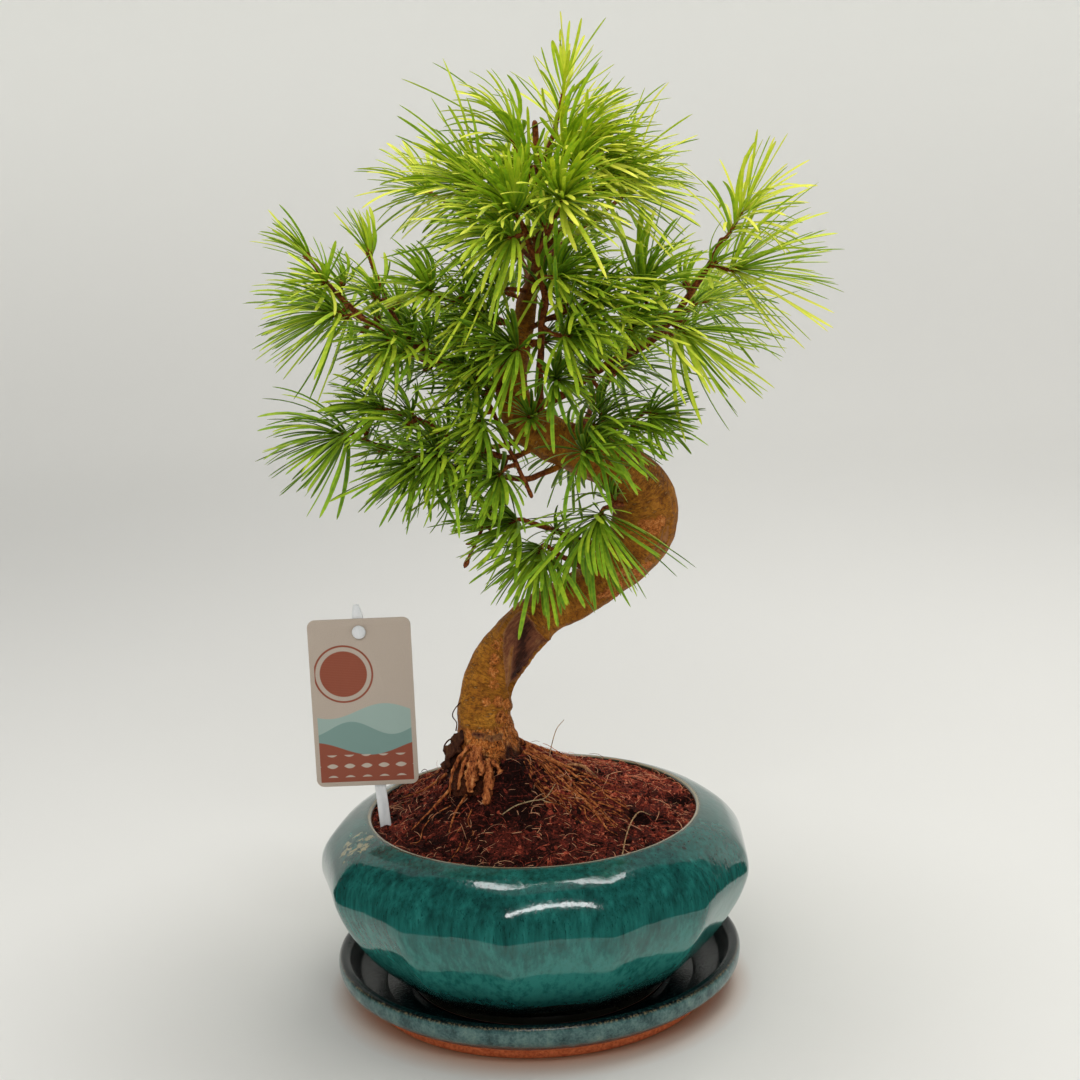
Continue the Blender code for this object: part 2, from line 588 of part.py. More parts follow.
def segment_gaps(start, end, starts, ends):
    """Least distance from one segment to each of many."""
    d1 = end - start
    d2 = ends - starts
    r = start - starts
    a = d1 @ d1 + 1e-12
    e = np.einsum("ij,ij->i", d2, d2) + 1e-12
    f = np.einsum("ij,ij->i", d2, r)
    c = r @ d1
    b = d2 @ d1
    denom = a * e - b * b
    s = np.where(denom > 1e-9, np.clip((b * f - c * e) / np.maximum(denom, 1e-9), 0, 1), 0.0)
    t = np.clip((b * s + f) / e, 0, 1)
    s = np.clip((b * t - c) / a, 0, 1)
    apart = (start + s[:, None] * d1) - (starts + t[:, None] * d2)
    return np.sqrt(np.einsum("ij,ij->i", apart, apart))


class Room:
    """What already fills the crown: round bars, each with its owner."""

    def __init__(self):
        self.starts = np.empty((0, 3))
        self.ends = np.empty((0, 3))
        self.radii = np.empty(0)
        self.owners = np.empty(0, dtype=int)

    def add(self, points, radii, owner):
        """Take up the bars between successive points."""
        rows = np.array([tuple(p) for p in points])
        self.starts = np.vstack([self.starts, rows[:-1]])
        self.ends = np.vstack([self.ends, rows[1:]])
        self.radii = np.append(self.radii, np.maximum(radii[:-1], radii[1:]))
        self.owners = np.append(self.owners, [owner] * (len(points) - 1))

    def slack(self, start, end, radius, keep):
        """Clear distance from a bar to the nearest of the bars that keep picks out."""
        if not keep.any():
            return math.inf
        gaps = segment_gaps(np.array(start), np.array(end), self.starts[keep], self.ends[keep])
        return float((gaps - self.radii[keep]).min() - radius)


WOOD_OWNER = -1


def wood_room():
    """The trunk and boughs as bars."""
    room = Room()
    for name in ["trunk", *BOUGHS]:
        room.add(*bough_points(name), WOOD_OWNER)
    return room


# Sprays

def nearest_on_bough(name, place):
    """The point of a bough's middle line nearest to a place."""
    points, _ = bough_points(name)
    best = None
    for a, b in zip(points, points[1:]):
        share = min(max((place - a).dot(b - a) / (b - a).length_squared, 0), 1)
        spot = a + (b - a) * share
        if best is None or (spot - place).length < (best - place).length:
            best = spot
    return best


def surface_of(item):
    """A search tree of an object's surface, in millimetres."""
    corners = [vertex.co / MM for vertex in item.data.vertices]
    return BVHTree.FromPolygons(corners, [tuple(face.vertices) for face in item.data.polygons])


def clear_of(surface, spot):
    """How far a spot lies outside a surface, and less than nothing inside it."""
    near, normal, _, apart = surface.find_nearest(spot)
    return apart if (spot - near).dot(normal) > 0 else -apart


class Core:
    """A spray's slim woody core: its rings of corners, and the faces that bear needles."""

    def __init__(self, name, wood):
        bough, place, aim, self.form, self.length, self.droop = SPRAYS[name]
        self.axis = Vector(aim).normalized()
        place = Vector(place)
        way = (place - nearest_on_bough(bough, place)).normalized()
        seat = wood.ray_cast(place, -way)[0] + way * GAP
        self.lay(seat, place, SHOOT_STEM.get(name))
        while min(clear_of(wood, spot) for spot in [seat, *self.rings[0]]) < GAP:
            seat = seat + way * SEAT_STEP
            self.lay(seat, place, SHOOT_STEM.get(name))

    def lay(self, seat, place, stem):
        """Lay the rings from the seat on the wood to the place of the needles and beyond."""
        reach = (place - seat).length
        bend = place - self.axis * reach * 0.45
        points = [seat]
        if reach > SPUR_BEND_FROM:
            points.append(seat * 0.25 + bend * 0.5 + place * 0.25)
        if reach > SPUR_CURVE_FROM:
            points.append(seat * 0.04 + bend * 0.32 + place * 0.64)
        radii = [SPUR_R] * len(points)
        self.first = len(points)
        if stem:
            points += [place + self.axis * stem * k / SHOOT_BANDS for k in range(SHOOT_BANDS + 1)]
            radii += [SPUR_R + 0.25 - 0.3 * k / SHOOT_BANDS for k in range(SHOOT_BANDS + 1)]
        else:
            points += [place + self.axis * out for out, _ in SPUR_HEAD]
            radii += [radius for _, radius in SPUR_HEAD]
        self.top = points[-1] + self.axis * SPUR_TIP
        self.points, self.radii = points, radii
        frames = ring_frames(points)
        step = math.tau / CORE_SIDES
        self.rings = []
        for k, (point, radius, (_, side, other)) in enumerate(zip(points, radii, frames)):
            turns = [(s + 0.5 * (k % 2)) * step for s in range(CORE_SIDES)]
            self.rings.append([point + (side * math.cos(a) + other * math.sin(a)) * radius
                               for a in turns])

    def corners(self):
        """All corners, the top last."""
        return [corner for ring in self.rings for corner in ring] + [self.top]

    def faces(self):
        """Triangles as corner numbers, each with its band: 0 bare, 1 outer, 2 middle, 3 top."""
        n = CORE_SIDES
        rows = []
        last = len(self.rings) - 1
        for k in range(last):
            near, far = k * n, (k + 1) * n
            for s in range(n):
                nxt = (s + 1) % n
                if k % 2 == 0:
                    up, down = (near + s, near + nxt, far + s), (near + nxt, far + nxt, far + s)
                else:
                    up, down = (near + s, near + nxt, far + nxt), (near + s, far + nxt, far + s)
                if k < self.first:
                    rows += [(up, 0), (down, 0)]
                elif self.form == "shoot":
                    rows += [(up, 1 if k < last - 1 else 2), (down, 0 if k % 2 else 2)]
                else:
                    band = 1 if k == self.first else 2
                    bare = self.form == "open" and band == 2
                    rows += [(up, band), (down, 0 if bare else band)]
        top = (last + 1) * n
        rows += [((last * n + s, last * n + (s + 1) % n, top), 3) for s in range(n)]
        return rows


def needle_line(root, aim, length, droop):
    """Base, middle and tip of a needle that leaves along aim and bends down."""
    bend = (aim + Vector((0, 0, -droop))).normalized()
    knee = root + aim * length * 0.5
    tip = knee + bend * length * 0.5
    return root, (root + knee * 2 + tip) / 4, tip


def needle_mesh(line, face, corners, roll):
    """The corners and faces of a three-sided needle raised from a face of the core."""
    root, middle, tip = line
    way = (tip - root).normalized()
    side = Matrix.Rotation(roll, 3, way) @ across(way)[0]
    other = way.cross(side)
    half, depth = NEEDLE_WIDTH / 2, NEEDLE_THICK / 3
    ring = [middle + side * half + other * depth, middle - side * half + other * depth,
            middle - other * depth * 2]
    base = [(corners[i] - root) for i in face]

    def match(shift):
        return sum((base[i] - way * base[i].dot(way)).normalized().dot(
            (ring[(i + shift) % 3] - middle).normalized()) for i in range(3))

    shift = max(range(3), key=match)
    first = len(corners)
    raised = [ring[(i + shift) % 3] for i in range(3)] + [tip]
    faces = []
    for i in range(3):
        nxt = (i + 1) % 3
        faces.append((face[i], face[nxt], first + nxt))
        faces.append((face[i], first + nxt, first + i))
        faces.append((first + i, first + nxt, first + 3))
    return raised, faces


def crosses(corners, raised, new_faces, old_faces):
    """True where a new needle cuts itself or a face of its spray that it only passes."""
    points = corners + raised
    new = BVHTree.FromPolygons(points, new_faces)
    old = BVHTree.FromPolygons(points, new_faces + old_faces)
    known = new_faces + old_faces
    return any(not set(new_faces[i]) & set(known[j]) for i, j in new.overlap(old))


def grow_needle(core, face, band, spray, owner, room, draw):
    """Corners and faces of the first clear needle on this face, or None."""
    corners, faces = spray
    a, b, c = (corners[i] for i in face)
    root = (a + b + c) / 3
    normal = (b - a).cross(c - a).normalized()
    flat = normal - core.axis * normal.dot(core.axis)
    flat = flat.normalized() if flat.length > 0.05 else across(core.axis)[0]
    lean = FORMS[core.form][band - 1]
    others = room.owners != owner
    for attempt in range(TRIES):
        loose = LOOSE_START + attempt * LOOSE_STEP
        shrink = 1.0 if attempt < TRIES * 0.5 else (0.8 if attempt < TRIES * 0.8 else 0.6)
        tilt = math.radians(lean + draw.uniform(-1, 1) * loose)
        swing = Matrix.Rotation(math.radians(draw.uniform(-1, 1) * loose), 3, core.axis)
        aim = (core.axis * math.cos(tilt) + (swing @ flat) * math.sin(tilt)).normalized()
        length = core.length * (1.06 - 0.06 * band) * draw.uniform(0.84, 1.04) * shrink
        droop = core.droop * draw.uniform(0.6, 1.4)
        roll = math.radians(draw.uniform(-25, 25))
        if aim.dot(normal) < NEEDLE_LEAST_SLOPE:
            continue
        line = needle_line(root, aim, length, droop)
        if min(room.slack(line[0], line[1], NEEDLE_CLEAR, others),
               room.slack(line[1], line[2], NEEDLE_CLEAR, others)) < GAP:
            continue
        raised, new_faces = needle_mesh(line, face, corners, roll)
        if crosses(corners, raised, new_faces, faces):
            continue
        room.add(line, [NEEDLE_BAR, NEEDLE_BAR, NEEDLE_BAR], owner)
        return raised, new_faces
    return None


def build_sprays(wood, room):
    """All sprays: every core takes its room first, and then the needles grow."""
    leaf = make_material("larch needles", (0.16, 0.36, 0.03), 0.5)
    surface = surface_of(wood)
    cores = {name: Core(name, surface) for name in SPRAYS}
    for owner, core in enumerate(cores.values()):
        room.add([*core.points, core.top], [*core.radii, core.radii[-1]], owner)
    for owner, (name, core) in enumerate(cores.items()):
        draw = random.Random(SEED + owner)
        corners = core.corners()
        plain = dict(core.faces())
        grown_faces = []
        for face in [face for face, band in plain.items() if band]:
            waiting = [other for other in plain if other != face]
            spray = corners, grown_faces + waiting
            grown = grow_needle(core, face, plain[face], spray, owner, room, draw)
            if grown:
                corners += grown[0]
                grown_faces += grown[1]
                del plain[face]
        foot = tuple(range(CORE_SIDES - 1, -1, -1))
        spray = add_object(name, corners, [foot, *plain, *grown_faces], leaf, smooth=False)
        spray.data.shade_smooth()


def main():
    """Build every piece."""
    clear_scene()
    build_saucer()
    build_pot()
    build_soil()
    build_card()
    build_stake()
    build_sprays(build_wood(), wood_room())


main()
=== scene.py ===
"""Golden larch bonsai in its glazed bowl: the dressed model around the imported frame.

Sizes are in millimetres, as in the part's source, and become metres where a mesh is made.
The origin is the middle of the saucer's underside, +Z is up, and the front is towards -Y.
"""
import json
import math
import random

import bmesh
import bpy
import numpy as np
from mathutils import Matrix, Vector, noise
from mathutils.kdtree import KDTree

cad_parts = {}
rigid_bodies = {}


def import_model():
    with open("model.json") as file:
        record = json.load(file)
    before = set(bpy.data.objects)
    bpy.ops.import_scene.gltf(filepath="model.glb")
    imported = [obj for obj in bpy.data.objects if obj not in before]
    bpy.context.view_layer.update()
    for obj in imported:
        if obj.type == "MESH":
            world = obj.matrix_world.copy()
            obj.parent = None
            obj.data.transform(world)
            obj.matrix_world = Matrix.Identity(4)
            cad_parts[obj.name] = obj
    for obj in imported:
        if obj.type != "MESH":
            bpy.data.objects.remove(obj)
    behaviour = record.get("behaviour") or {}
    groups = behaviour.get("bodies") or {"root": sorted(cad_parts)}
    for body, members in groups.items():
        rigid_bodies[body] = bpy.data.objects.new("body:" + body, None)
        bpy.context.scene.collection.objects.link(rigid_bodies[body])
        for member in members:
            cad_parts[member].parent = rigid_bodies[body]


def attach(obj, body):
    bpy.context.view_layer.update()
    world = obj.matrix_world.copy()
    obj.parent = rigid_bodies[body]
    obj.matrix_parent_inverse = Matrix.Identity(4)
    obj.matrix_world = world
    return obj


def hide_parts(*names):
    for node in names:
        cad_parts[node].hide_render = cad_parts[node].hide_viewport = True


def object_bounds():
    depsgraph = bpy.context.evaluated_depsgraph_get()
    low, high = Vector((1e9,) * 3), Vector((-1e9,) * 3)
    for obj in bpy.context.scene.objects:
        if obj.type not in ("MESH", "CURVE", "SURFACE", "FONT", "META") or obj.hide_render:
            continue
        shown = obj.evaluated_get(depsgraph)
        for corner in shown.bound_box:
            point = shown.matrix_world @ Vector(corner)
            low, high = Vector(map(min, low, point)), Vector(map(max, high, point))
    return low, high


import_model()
cad_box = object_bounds()

MM = 0.001
UP = np.array((0.0, 0.0, 1.0))
GOLDEN_TURN = math.pi * (3.0 - math.sqrt(5.0))
BOX_ROOM = 0.5

# pot and saucer: (radius, height)
SAUCER_PROFILE = (
    (0, 0), (62.8, 0), (63.8, 0.9), (64.6, 4.0), (66.8, 4.8), (73.8, 10.0), (75.2, 14.2),
    (74.5, 16.6), (72.6, 17.3), (70.4, 15.6), (67.8, 9.5), (64.1, 7.2), (59.0, 6.6),
    (57.5, 5.0), (0, 5.0),
)
SAUCER_COLUMNS = 156
POT_WALL = (
    (48.0, 5.3), (49.0, 9.5), (57.0, 14.0), (67.0, 23.5), (75.5, 35.5), (79.8, 45.0),
    (80.6, 51.0), (78.6, 57.3), (73.0, 63.9), (67.1, 67.5), (62.4, 69.5),
)
POT_LIP = ((60.7, 69.75), (59.8, 68.9), (59.8, 65.0))
POT_INSIDE = ((66.0, 61.0), (74.0, 53.0), (73.0, 42.0), (62.0, 26.5), (46.0, 14.5))
POT_FLOOR = ((6.0, 14.5), (6.0, 7.5), (43.0, 7.5), (43.0, 5.3))
POT_FACETS = 13
POT_COLUMNS = POT_FACETS * 16
RIDGE_TURN = math.radians(-98)
PRESS = 1.35
PRESS_START = 9.0
PRESS_SPAN = 58.0
PRESS_FADE = 0.7
RIDGE_SOFTNESS = math.radians(1.6)
SPLASH_PLACE = (-63.5, -24.0, 67.0)
PIT_PLACE = (52.5, -42.4, 67.3)

# soil
SOIL_R = 59.38
SOIL_FLOOR = 14.8
SOIL_EDGE = 67.5
SOIL_BACK = 1.5
SOIL_RISE = 26.0
SOIL_CURVE = 1.25
SOIL_DIP = 0.16
SOIL_DIP_TURN = math.radians(-125)
SOIL_SWELLS = ((3, 0.9, 0.6), (5, 0.6, 2.0))
CRUMB_DENSITY = 250000.0
CRUMB_SIZE = (0.4, 1.4)
FIBRE_DENSITY = 235000.0
FIBRE_LENGTH = (2.5, 11.0)
FIBRE_BREADTH = 0.11
FIBRE_LIFT = 0.5
SOIL_COLUMNS = 208
SOIL_RINGS = 76
# hollows near the rim and heaped places: x, y, reach and depth
SOIL_HOLLOWS = (
    (53.5, 5.5, 7.0, 7.0), (38.4, -19.2, 5.0, 3.4), (46.0, -17.0, 4.0, 2.0),
    (-2.0, -27.0, 6.0, 1.4), (-40.0, -27.0, 6.0, 1.4), (20.0, 34.0, 7.0, 1.4), (-38.0, 24.0, 8.0, 1.5),
    (-8.0, -15.5, 9.5, -9.0), (-1.0, -8.0, 8.5, -5.5), (9.0, -9.0, 6.0, -1.6),
    (16.0, -17.0, 6.0, -1.6), (22.0, -27.0, 6.0, -1.4), (-29.0, -5.0, 6.0, -1.5),
)

# painted shade in the hollows near the rim, and darkening in front of the trunk's foot: middle, reach
# and strength
SOIL_SHADES = (
    ((53.5, 5.5), 7.0, 0.5), ((38.4, -19.2), 5.5, 0.4), ((46.0, -17.0), 4.0, 0.25),
    ((-7.0, -21.0), 17.0, 0.26), ((-32.0, -12.0), 14.0, 0.2),
)

# label
CARD_SIZE = (37.0, 62.5)
CARD_THICK = 0.8
CARD_CORNER = 2.8
CARD_CENTRE = (-59.6, -12.0, 115.8)
CARD_HOLE_R = 2.0
HOLE_HEIGHT = CARD_CENTRE[2] + CARD_SIZE[1] / 2 - 4.8
STAKE_HALF = 2.0
STAKE_THICK = 1.2
STAKE_FRONT = -10.9
STAKE_TOP = 152.0
STAKE_TIP = 38.0
STAKE_LEAN = math.radians(-4.2)
PEG_PROFILE = ((-12.0, 1.7), (-12.3, 1.7), (-12.3, 2.4), (-12.5, 2.5), (-12.85, 2.4), (-13.05, 1.7),
               (-13.1, 0.9))

CARD_CREAM = (0.52, 0.435, 0.36)
CARD_RED = (0.3, 0.072, 0.036)
# hills on the card: height, wave, start and colour
CARD_HILLS = (
    (-3.0, 0.16, 0.4, (0.33, 0.44, 0.4)), (-9.5, 0.21, 2.6, (0.2, 0.32, 0.29)),
    (-17.0, 0.15, 4.4, (0.3, 0.075, 0.04)),
)

# tree
TREE_X = -16.0
ROOT_TOP = 106.0
ROOT_SPAN = 24.0
ROOT_COUNT = 5
ROOT_REACH = 0.14
TRUNK_COLUMNS = 96
TRUNK_GAP = 0.85
LEADER_SLIMNESS = 0.38
LEADER_YOUNG = 254.0
LIMB_COLUMNS = 12
LIMB_GAP = 1.1

# trunk: x, y, z and radius, from the buried root base to the cut leader
TRUNK = (
    (-16, 0, 60, 14.5), (-16, 0, 72, 17.0), (-16, 0, 82, 17.5), (-16, 0, 89, 14.2),
    (-16, 0, 96, 11.0), (-16.5, 0, 105, 9.8), (-15, 2, 115, 9.3), (-10.2, 4, 125, 9.4),
    (-2.2, 6, 134, 9.0), (7, 8, 141.5, 8.5), (18, 10, 146, 8.6), (29, 12, 152.5, 9.0),
    (38.5, 13, 161, 10.3), (44, 12, 170.5, 11.9), (44.5, 10, 181, 11.5), (39.5, 6, 191, 10.2),
    (30, 2, 198.5, 9.2), (20, -1, 204, 8.7), (10, -3, 209, 8.2), (2, -4, 216.5, 7.2),
    (-1.5, -4, 226, 5.8), (0, -2, 236, 4.7), (3, 0, 246.5, 3.9), (5.7, 2, 256.5, 3.3),
    (8.5, 2, 267, 2.8), (10.8, 2, 281, 2.3), (11.3, 2, 293, 2.0), (10.8, 1.5, 306, 1.8),
    (10.4, 1, 317, 1.7),
)

# boughs and twigs: start and end radius, then the route, which starts inside its parent
BOUGHS = {
    "front_shoot": (1.8, 1.1, ((6, -4, 213), (8, -11, 220), (9, -17, 241), (11, -21, 259),
                               (7, -25, 277), (5, -26, 284))),
    "front_top": (1.2, 1.0, ((8, -24, 272), (13, -29, 281), (16, -32, 288))),
    "right_bough": (2.5, 1.2, ((2, -4, 218), (16, -4, 223), (30, -4, 232), (46, -3, 240),
                               (56, -2, 249), (63, -1, 257), (71, 0, 269), (74, 1, 275))),
    "right_front": (1.5, 1.0, ((3, 0, 246), (12, -11, 251), (23, -20, 256))),
    "right_small": (1.5, 1.1, ((24, 0, 201), (30, -6, 210), (37, -9, 213), (43, -12, 216))),
    "top_right": (1.4, 1.0, ((10, 2, 279), (16, -5, 288), (21, -12, 298))),
    "top_side": (1.3, 1.0, ((9, 2, 271), (20, -4, 283), (28, -8, 292))),
    "apex_stem": (1.3, 1.1, ((11.3, 2, 294), (14, 2, 307), (16.6, 2, 313))),
    "top_left": (1.3, 1.0, ((11, 2, 289), (7, 1, 301), (4.5, 0, 307))),
    "upper_left": (1.4, 1.0, ((10, 2, 276), (1, -3, 288), (-6, -5, 294))),
    "left_upper": (1.4, 1.0, ((3, 0, 246), (-12, -9, 255), (-24, -14, 260))),
    "left_main": (2.3, 1.1, ((0, -4, 222), (-12, -8, 232), (-26, -9, 238), (-36, -9, 245),
                             (-44, -8, 249), (-54, -5, 255), (-62, -3, 263), (-67, -1, 270))),
    "left_second": (1.3, 1.0, ((-35, -9, 244), (-41, -3, 252), (-45, 0, 260), (-48, 2, 270))),
    "mid_left": (1.7, 1.1, ((8, -3, 206), (-3, -9, 203), (-17, -12, 208), (-32, -12, 217),
                            (-42, -10, 220.5))),
    "low_left": (1.8, 1.1, ((20, 0, 200), (4, -8, 195), (-10, -10, 197), (-28, -9, 202),
                            (-46, -5, 207), (-57, -1, 210.5))),
    "descending": (1.3, 1.0, ((-16, -9, 233), (-9, -15, 222), (-4, -17, 210), (1, -18, 198),
                              (4, -17, 190))),
    "bare_twig": (1.2, 0.9, ((-4, -9, 203), (-8, -13, 192), (-13, -15, 180), (-19, -14, 168))),
    "lower_left": (1.5, 1.1, ((34, 9, 164), (14, -6, 174), (7, -10, 178), (2, -12, 180))),
    "low_centre": (1.5, 1.1, ((29, 8, 154), (19, -7, 163), (10, -13, 170))),
    "hanging": (1.4, 1.1, ((40, 5, 182), (34, -8, 184), (31, -12, 184))),
    "centre_low": (1.4, 1.1, ((20, -3, 204), (22, -12, 205), (23, -18, 205.5))),
    "back_right": (1.9, 1.1, ((22, 0, 203), (26, 18, 214), (33, 35, 221), (38, 47, 224))),
    "back_left": (1.8, 1.1, ((0, -3, 221), (-12, 15, 226), (-26, 32, 230), (-35, 43, 232))),
    "back_mid": (1.7, 1.1, ((3, 0, 246), (2, 16, 254), (6, 34, 262), (4, 50, 267))),
    "back_high_right": (1.5, 1.0, ((9, 2, 268), (20, 14, 276), (31, 24, 283), (39, 33, 288))),
    "back_high_left": (1.5, 1.0, ((9, 2, 270), (-3, 14, 280), (-16, 25, 287), (-25, 31, 292))),
    "right_back": (1.5, 1.0, ((42, -4, 238), (52, 12, 243), (61, 26, 247), (67, 36, 249))),
    "left_back": (1.5, 1.0, ((-28, -9, 239), (-38, 8, 244), (-49, 21, 248), (-57, 29, 250))),
    "low_back": (1.6, 1.1, ((40, 8, 188), (38, 24, 190), (31, 39, 192), (23, 51, 193.5))),
    "low_back_left": (1.6, 1.1, ((12, -2, 208), (-3, 14, 204), (-15, 27, 200),
                                 (-27, 37, 198.5))),
}

# sprays: bough, place of the needles' ring, way it faces, form, length, droop and needles
SPRAYS = {
    "left_tip": ("left_main", (-69.5, 0, 273.5), (-0.62, 0, 0.78), "brush", 21, 0.1, 26),
    "left_fan": ("left_main", (-60, -8, 256), (-0.85, -0.3, -0.1), "rosette", 33, 0.5, 62),
    "left_face": ("left_main", (-64, -8, 266), (-0.2, -0.9, 0.35), "rosette", 20, 0.4, 30),
    "left_inner": ("left_main", (-42, -14, 247), (-0.4, -0.6, -0.6), "rosette", 24, 0.5, 54),
    "second_tip": ("left_second", (-49, 2, 273.5), (-0.15, 0, 1), "brush", 18, 0.1, 24),
    "second_side": ("left_second", (-47, -6, 260), (-0.2, -0.8, 0.5), "rosette", 17, 0.3, 26),
    "left_upper": ("left_upper", (-27, -16, 262), (-0.5, -0.6, 0.5), "rosette", 23, 0.4, 60),
    "sweep": ("front_shoot", (2, -31, 281), (-0.85, -0.5, 0.0), "rosette", 38, 0.4, 74),
    "shoot_top": ("front_shoot", (3, -28, 288), (-0.5, -0.45, 0.7), "rosette", 30, 0.4, 92),
    "upper_left": ("upper_left", (-9.3, -6, 296), (-0.88, -0.05, 0.42), "rosette", 33, 0.3, 84),
    "top_left": ("top_left", (3.3, 0, 310.5), (-0.33, 0, 0.94), "palm", 34, 0.45, 36),
    "apex": ("apex_stem", (17.6, 2, 316), (0.24, 0, 0.97), "shoot", 26, 0.25, 30),
    "top_right": ("top_right", (23.5, -16, 302), (0.5, -0.5, 0.7), "rosette", 33, 0.5, 84),
    "top_side": ("top_side", (32, -10, 295), (0.9, -0.2, 0.35), "rosette", 38, 0.5, 86),
    "dome_right": ("top_right", (20, -5, 306), (0.75, 0.0, 0.66), "rosette", 37, 0.4, 92),
    "right_upper": ("right_bough", (46, -9, 258), (0.1, -0.5, 0.85), "rosette", 32, 0.5, 72),
    "top_front": ("front_top", (18, -35, 292), (0.25, -0.9, 0.35), "rosette", 30, 0.5, 84),
    "front_right": ("front_shoot", (15, -30, 267), (0.7, -0.7, 0.1), "rosette", 28, 0.5, 72),
    "right_front": ("right_front", (26.5, -23, 257.5), (0.65, -0.75, 0.1), "rosette", 30, 0.5, 68),
    "right_mid": ("right_bough", (40, -13, 246), (0.4, -0.7, 0.6), "rosette", 27, 0.5, 66),
    "right_tip": ("right_bough", (76, 1, 276), (0.55, 0, 0.83), "shoot", 34, 0.7, 48),
    "right_gold": ("right_bough", (76, -5, 265), (0.95, -0.25, 0.1), "rosette", 43, 0.25, 54),
    "right_low": ("right_bough", (57.5, -8, 246), (0.75, -0.4, -0.45), "rosette", 40, 0.3, 54),
    "right_small": ("right_small", (46, -14, 217.5), (0.8, -0.4, -0.3), "rosette", 19, 0.4, 54),
    "right_droop": ("trunk", (25, -15, 214), (0.85, -0.45, -0.25), "rosette", 33, 0.5, 54),
    "centre_face": ("centre_low", (23.3, -22, 206), (0.05, -1, 0.05), "rosette", 25, 0.4, 40),
    "trunk_face": ("trunk", (5, -17, 218), (-0.1, -1, 0.1), "rosette", 17, 0.3, 32),
    "front_low": ("front_shoot", (14, -25, 232), (0.2, -0.95, 0.0), "rosette", 22, 0.4, 54),
    "front_fan": ("front_shoot", (17, -28, 247), (0.75, -0.6, 0.1), "rosette", 30, 0.5, 70),
    "front_left": ("front_shoot", (2, -27, 243), (-0.8, -0.6, 0.0), "rosette", 28, 0.5, 66),
    "descend_side": ("descending", (-12, -20, 219), (-0.3, -0.6, -0.75), "rosette", 24, 0.4, 54),
    "mid_face": ("mid_left", (-28.5, -19, 207), (-0.15, -0.9, -0.4), "rosette", 26, 0.4, 60),
    "descend_tip": ("descending", (-6, -22, 200), (-0.5, -0.7, -0.5), "rosette", 24, 0.4, 54),
    "low_fan": ("low_left", (-60, 0, 212), (-0.85, -0.1, -0.3), "rosette", 35, 0.45, 62),
    "low_inner": ("low_left", (-37, -15, 203), (-0.3, -0.75, -0.5), "rosette", 25, 0.4, 54),
    "mid_left": ("mid_left", (-46, -9, 221.5), (-0.95, -0.2, 0.1), "rosette", 24, 0.4, 54),
    "main_high": ("left_main", (-30, -15, 244), (-0.1, -0.7, 0.7), "rosette", 18, 0.4, 34),
    "main_low": ("left_main", (-19, -15, 236), (0.1, -0.9, 0.1), "rosette", 18, 0.5, 34),
    "lower_left": ("lower_left", (-1, -13, 181), (-0.85, -0.3, -0.3), "rosette", 26, 0.4, 70),
    "low_centre": ("low_centre", (7, -15, 171.5), (-0.5, -0.4, -0.75), "rosette", 29, 0.3, 68),
    "hanging": ("hanging", (28.5, -15, 183), (-0.3, -0.5, -0.8), "rosette", 36, 0.3, 66),
    "back_right": ("back_right", (40, 52, 225), (0.5, 0.8, 0.1), "open", 34, 0.5, 50),
    "back_right_top": ("back_right", (28, 30, 226), (0.0, 0.4, 0.9), "open", 26, 0.4, 50),
    "back_left": ("back_left", (-38, 47, 233), (-0.6, 0.75, 0.1), "open", 34, 0.5, 50),
    "back_left_top": ("back_left", (-20, 27, 236), (-0.1, 0.3, 0.95), "open", 26, 0.4, 50),
    "back_mid": ("back_mid", (3.5, 54, 268.5), (0.0, 0.95, 0.2), "open", 34, 0.5, 50),
    "back_mid_side": ("back_mid", (12, 30, 266), (0.6, 0.4, 0.6), "open", 28, 0.4, 50),
    "back_high_right": ("back_high_right", (42, 36, 290), (0.6, 0.6, 0.45), "open", 32, 0.5, 50),
    "back_high_left": ("back_high_left", (-28, 34, 293.5), (-0.6, 0.6, 0.4), "open", 32, 0.5, 50),
    "back_top": ("back_high_left", (-4, 19, 289), (0.2, 0.4, 0.9), "open", 28, 0.4, 50),
    "right_back": ("right_back", (70, 40, 250), (0.7, 0.7, 0.05), "open", 34, 0.5, 50),
    "left_back": ("left_back", (-60, 32, 251), (-0.8, 0.55, 0.1), "open", 34, 0.5, 50),
    "low_back": ("low_back", (20, 55, 194), (-0.2, 0.85, -0.35), "open", 32, 0.3, 50),
    "low_back_left": ("low_back_left", (-30, 40, 198), (-0.6, 0.7, -0.25), "open", 34, 0.3, 50),
}
SHOOT_STEM = {"apex": 19.5, "right_tip": 14.0}
FORM_LEANS = {"rosette": (80, 14), "open": (84, 14), "brush": (36, 4), "palm": (74, 8),
              "shoot": (62, 14)}
NEEDLE_BREADTH = (0.56, 0.82)
NEEDLE_FALL = 1.6
OUTWARD = 0.6
CROWN_X = 10.0
NEEDLE_RISE = 0.28
STIFF_STEP = 13
SPUR_HEAD = ((0.6, 1.0), (2.0, 1.35), (3.4, 1.05), (4.2, 0.4))
SPUR_R = 0.78
SPUR_LOOK = {"tone": 0.9, "size": 0.9}
TUFT_STEP = 10.0
TUFT_LEAD = 10.0
TUFT_NEEDLES = (14, 20)
TUFT_LENGTH = (13.0, 22.0)
BARE_BOUGHS = ("trunk", "front_shoot", "descending", "centre_low", "bare_twig")
LIMB_SLIMNESS = {"front_shoot": 0.9, "bare_twig": 0.62}
WANDER_SEED = 7
NEEDLE_TAPER = ((0.0, 0.55), (0.1, 0.8), (0.4, 1.0), (0.8, 0.97), (0.9, 0.86), (0.965, 0.58),
                (1.0, 0.14))

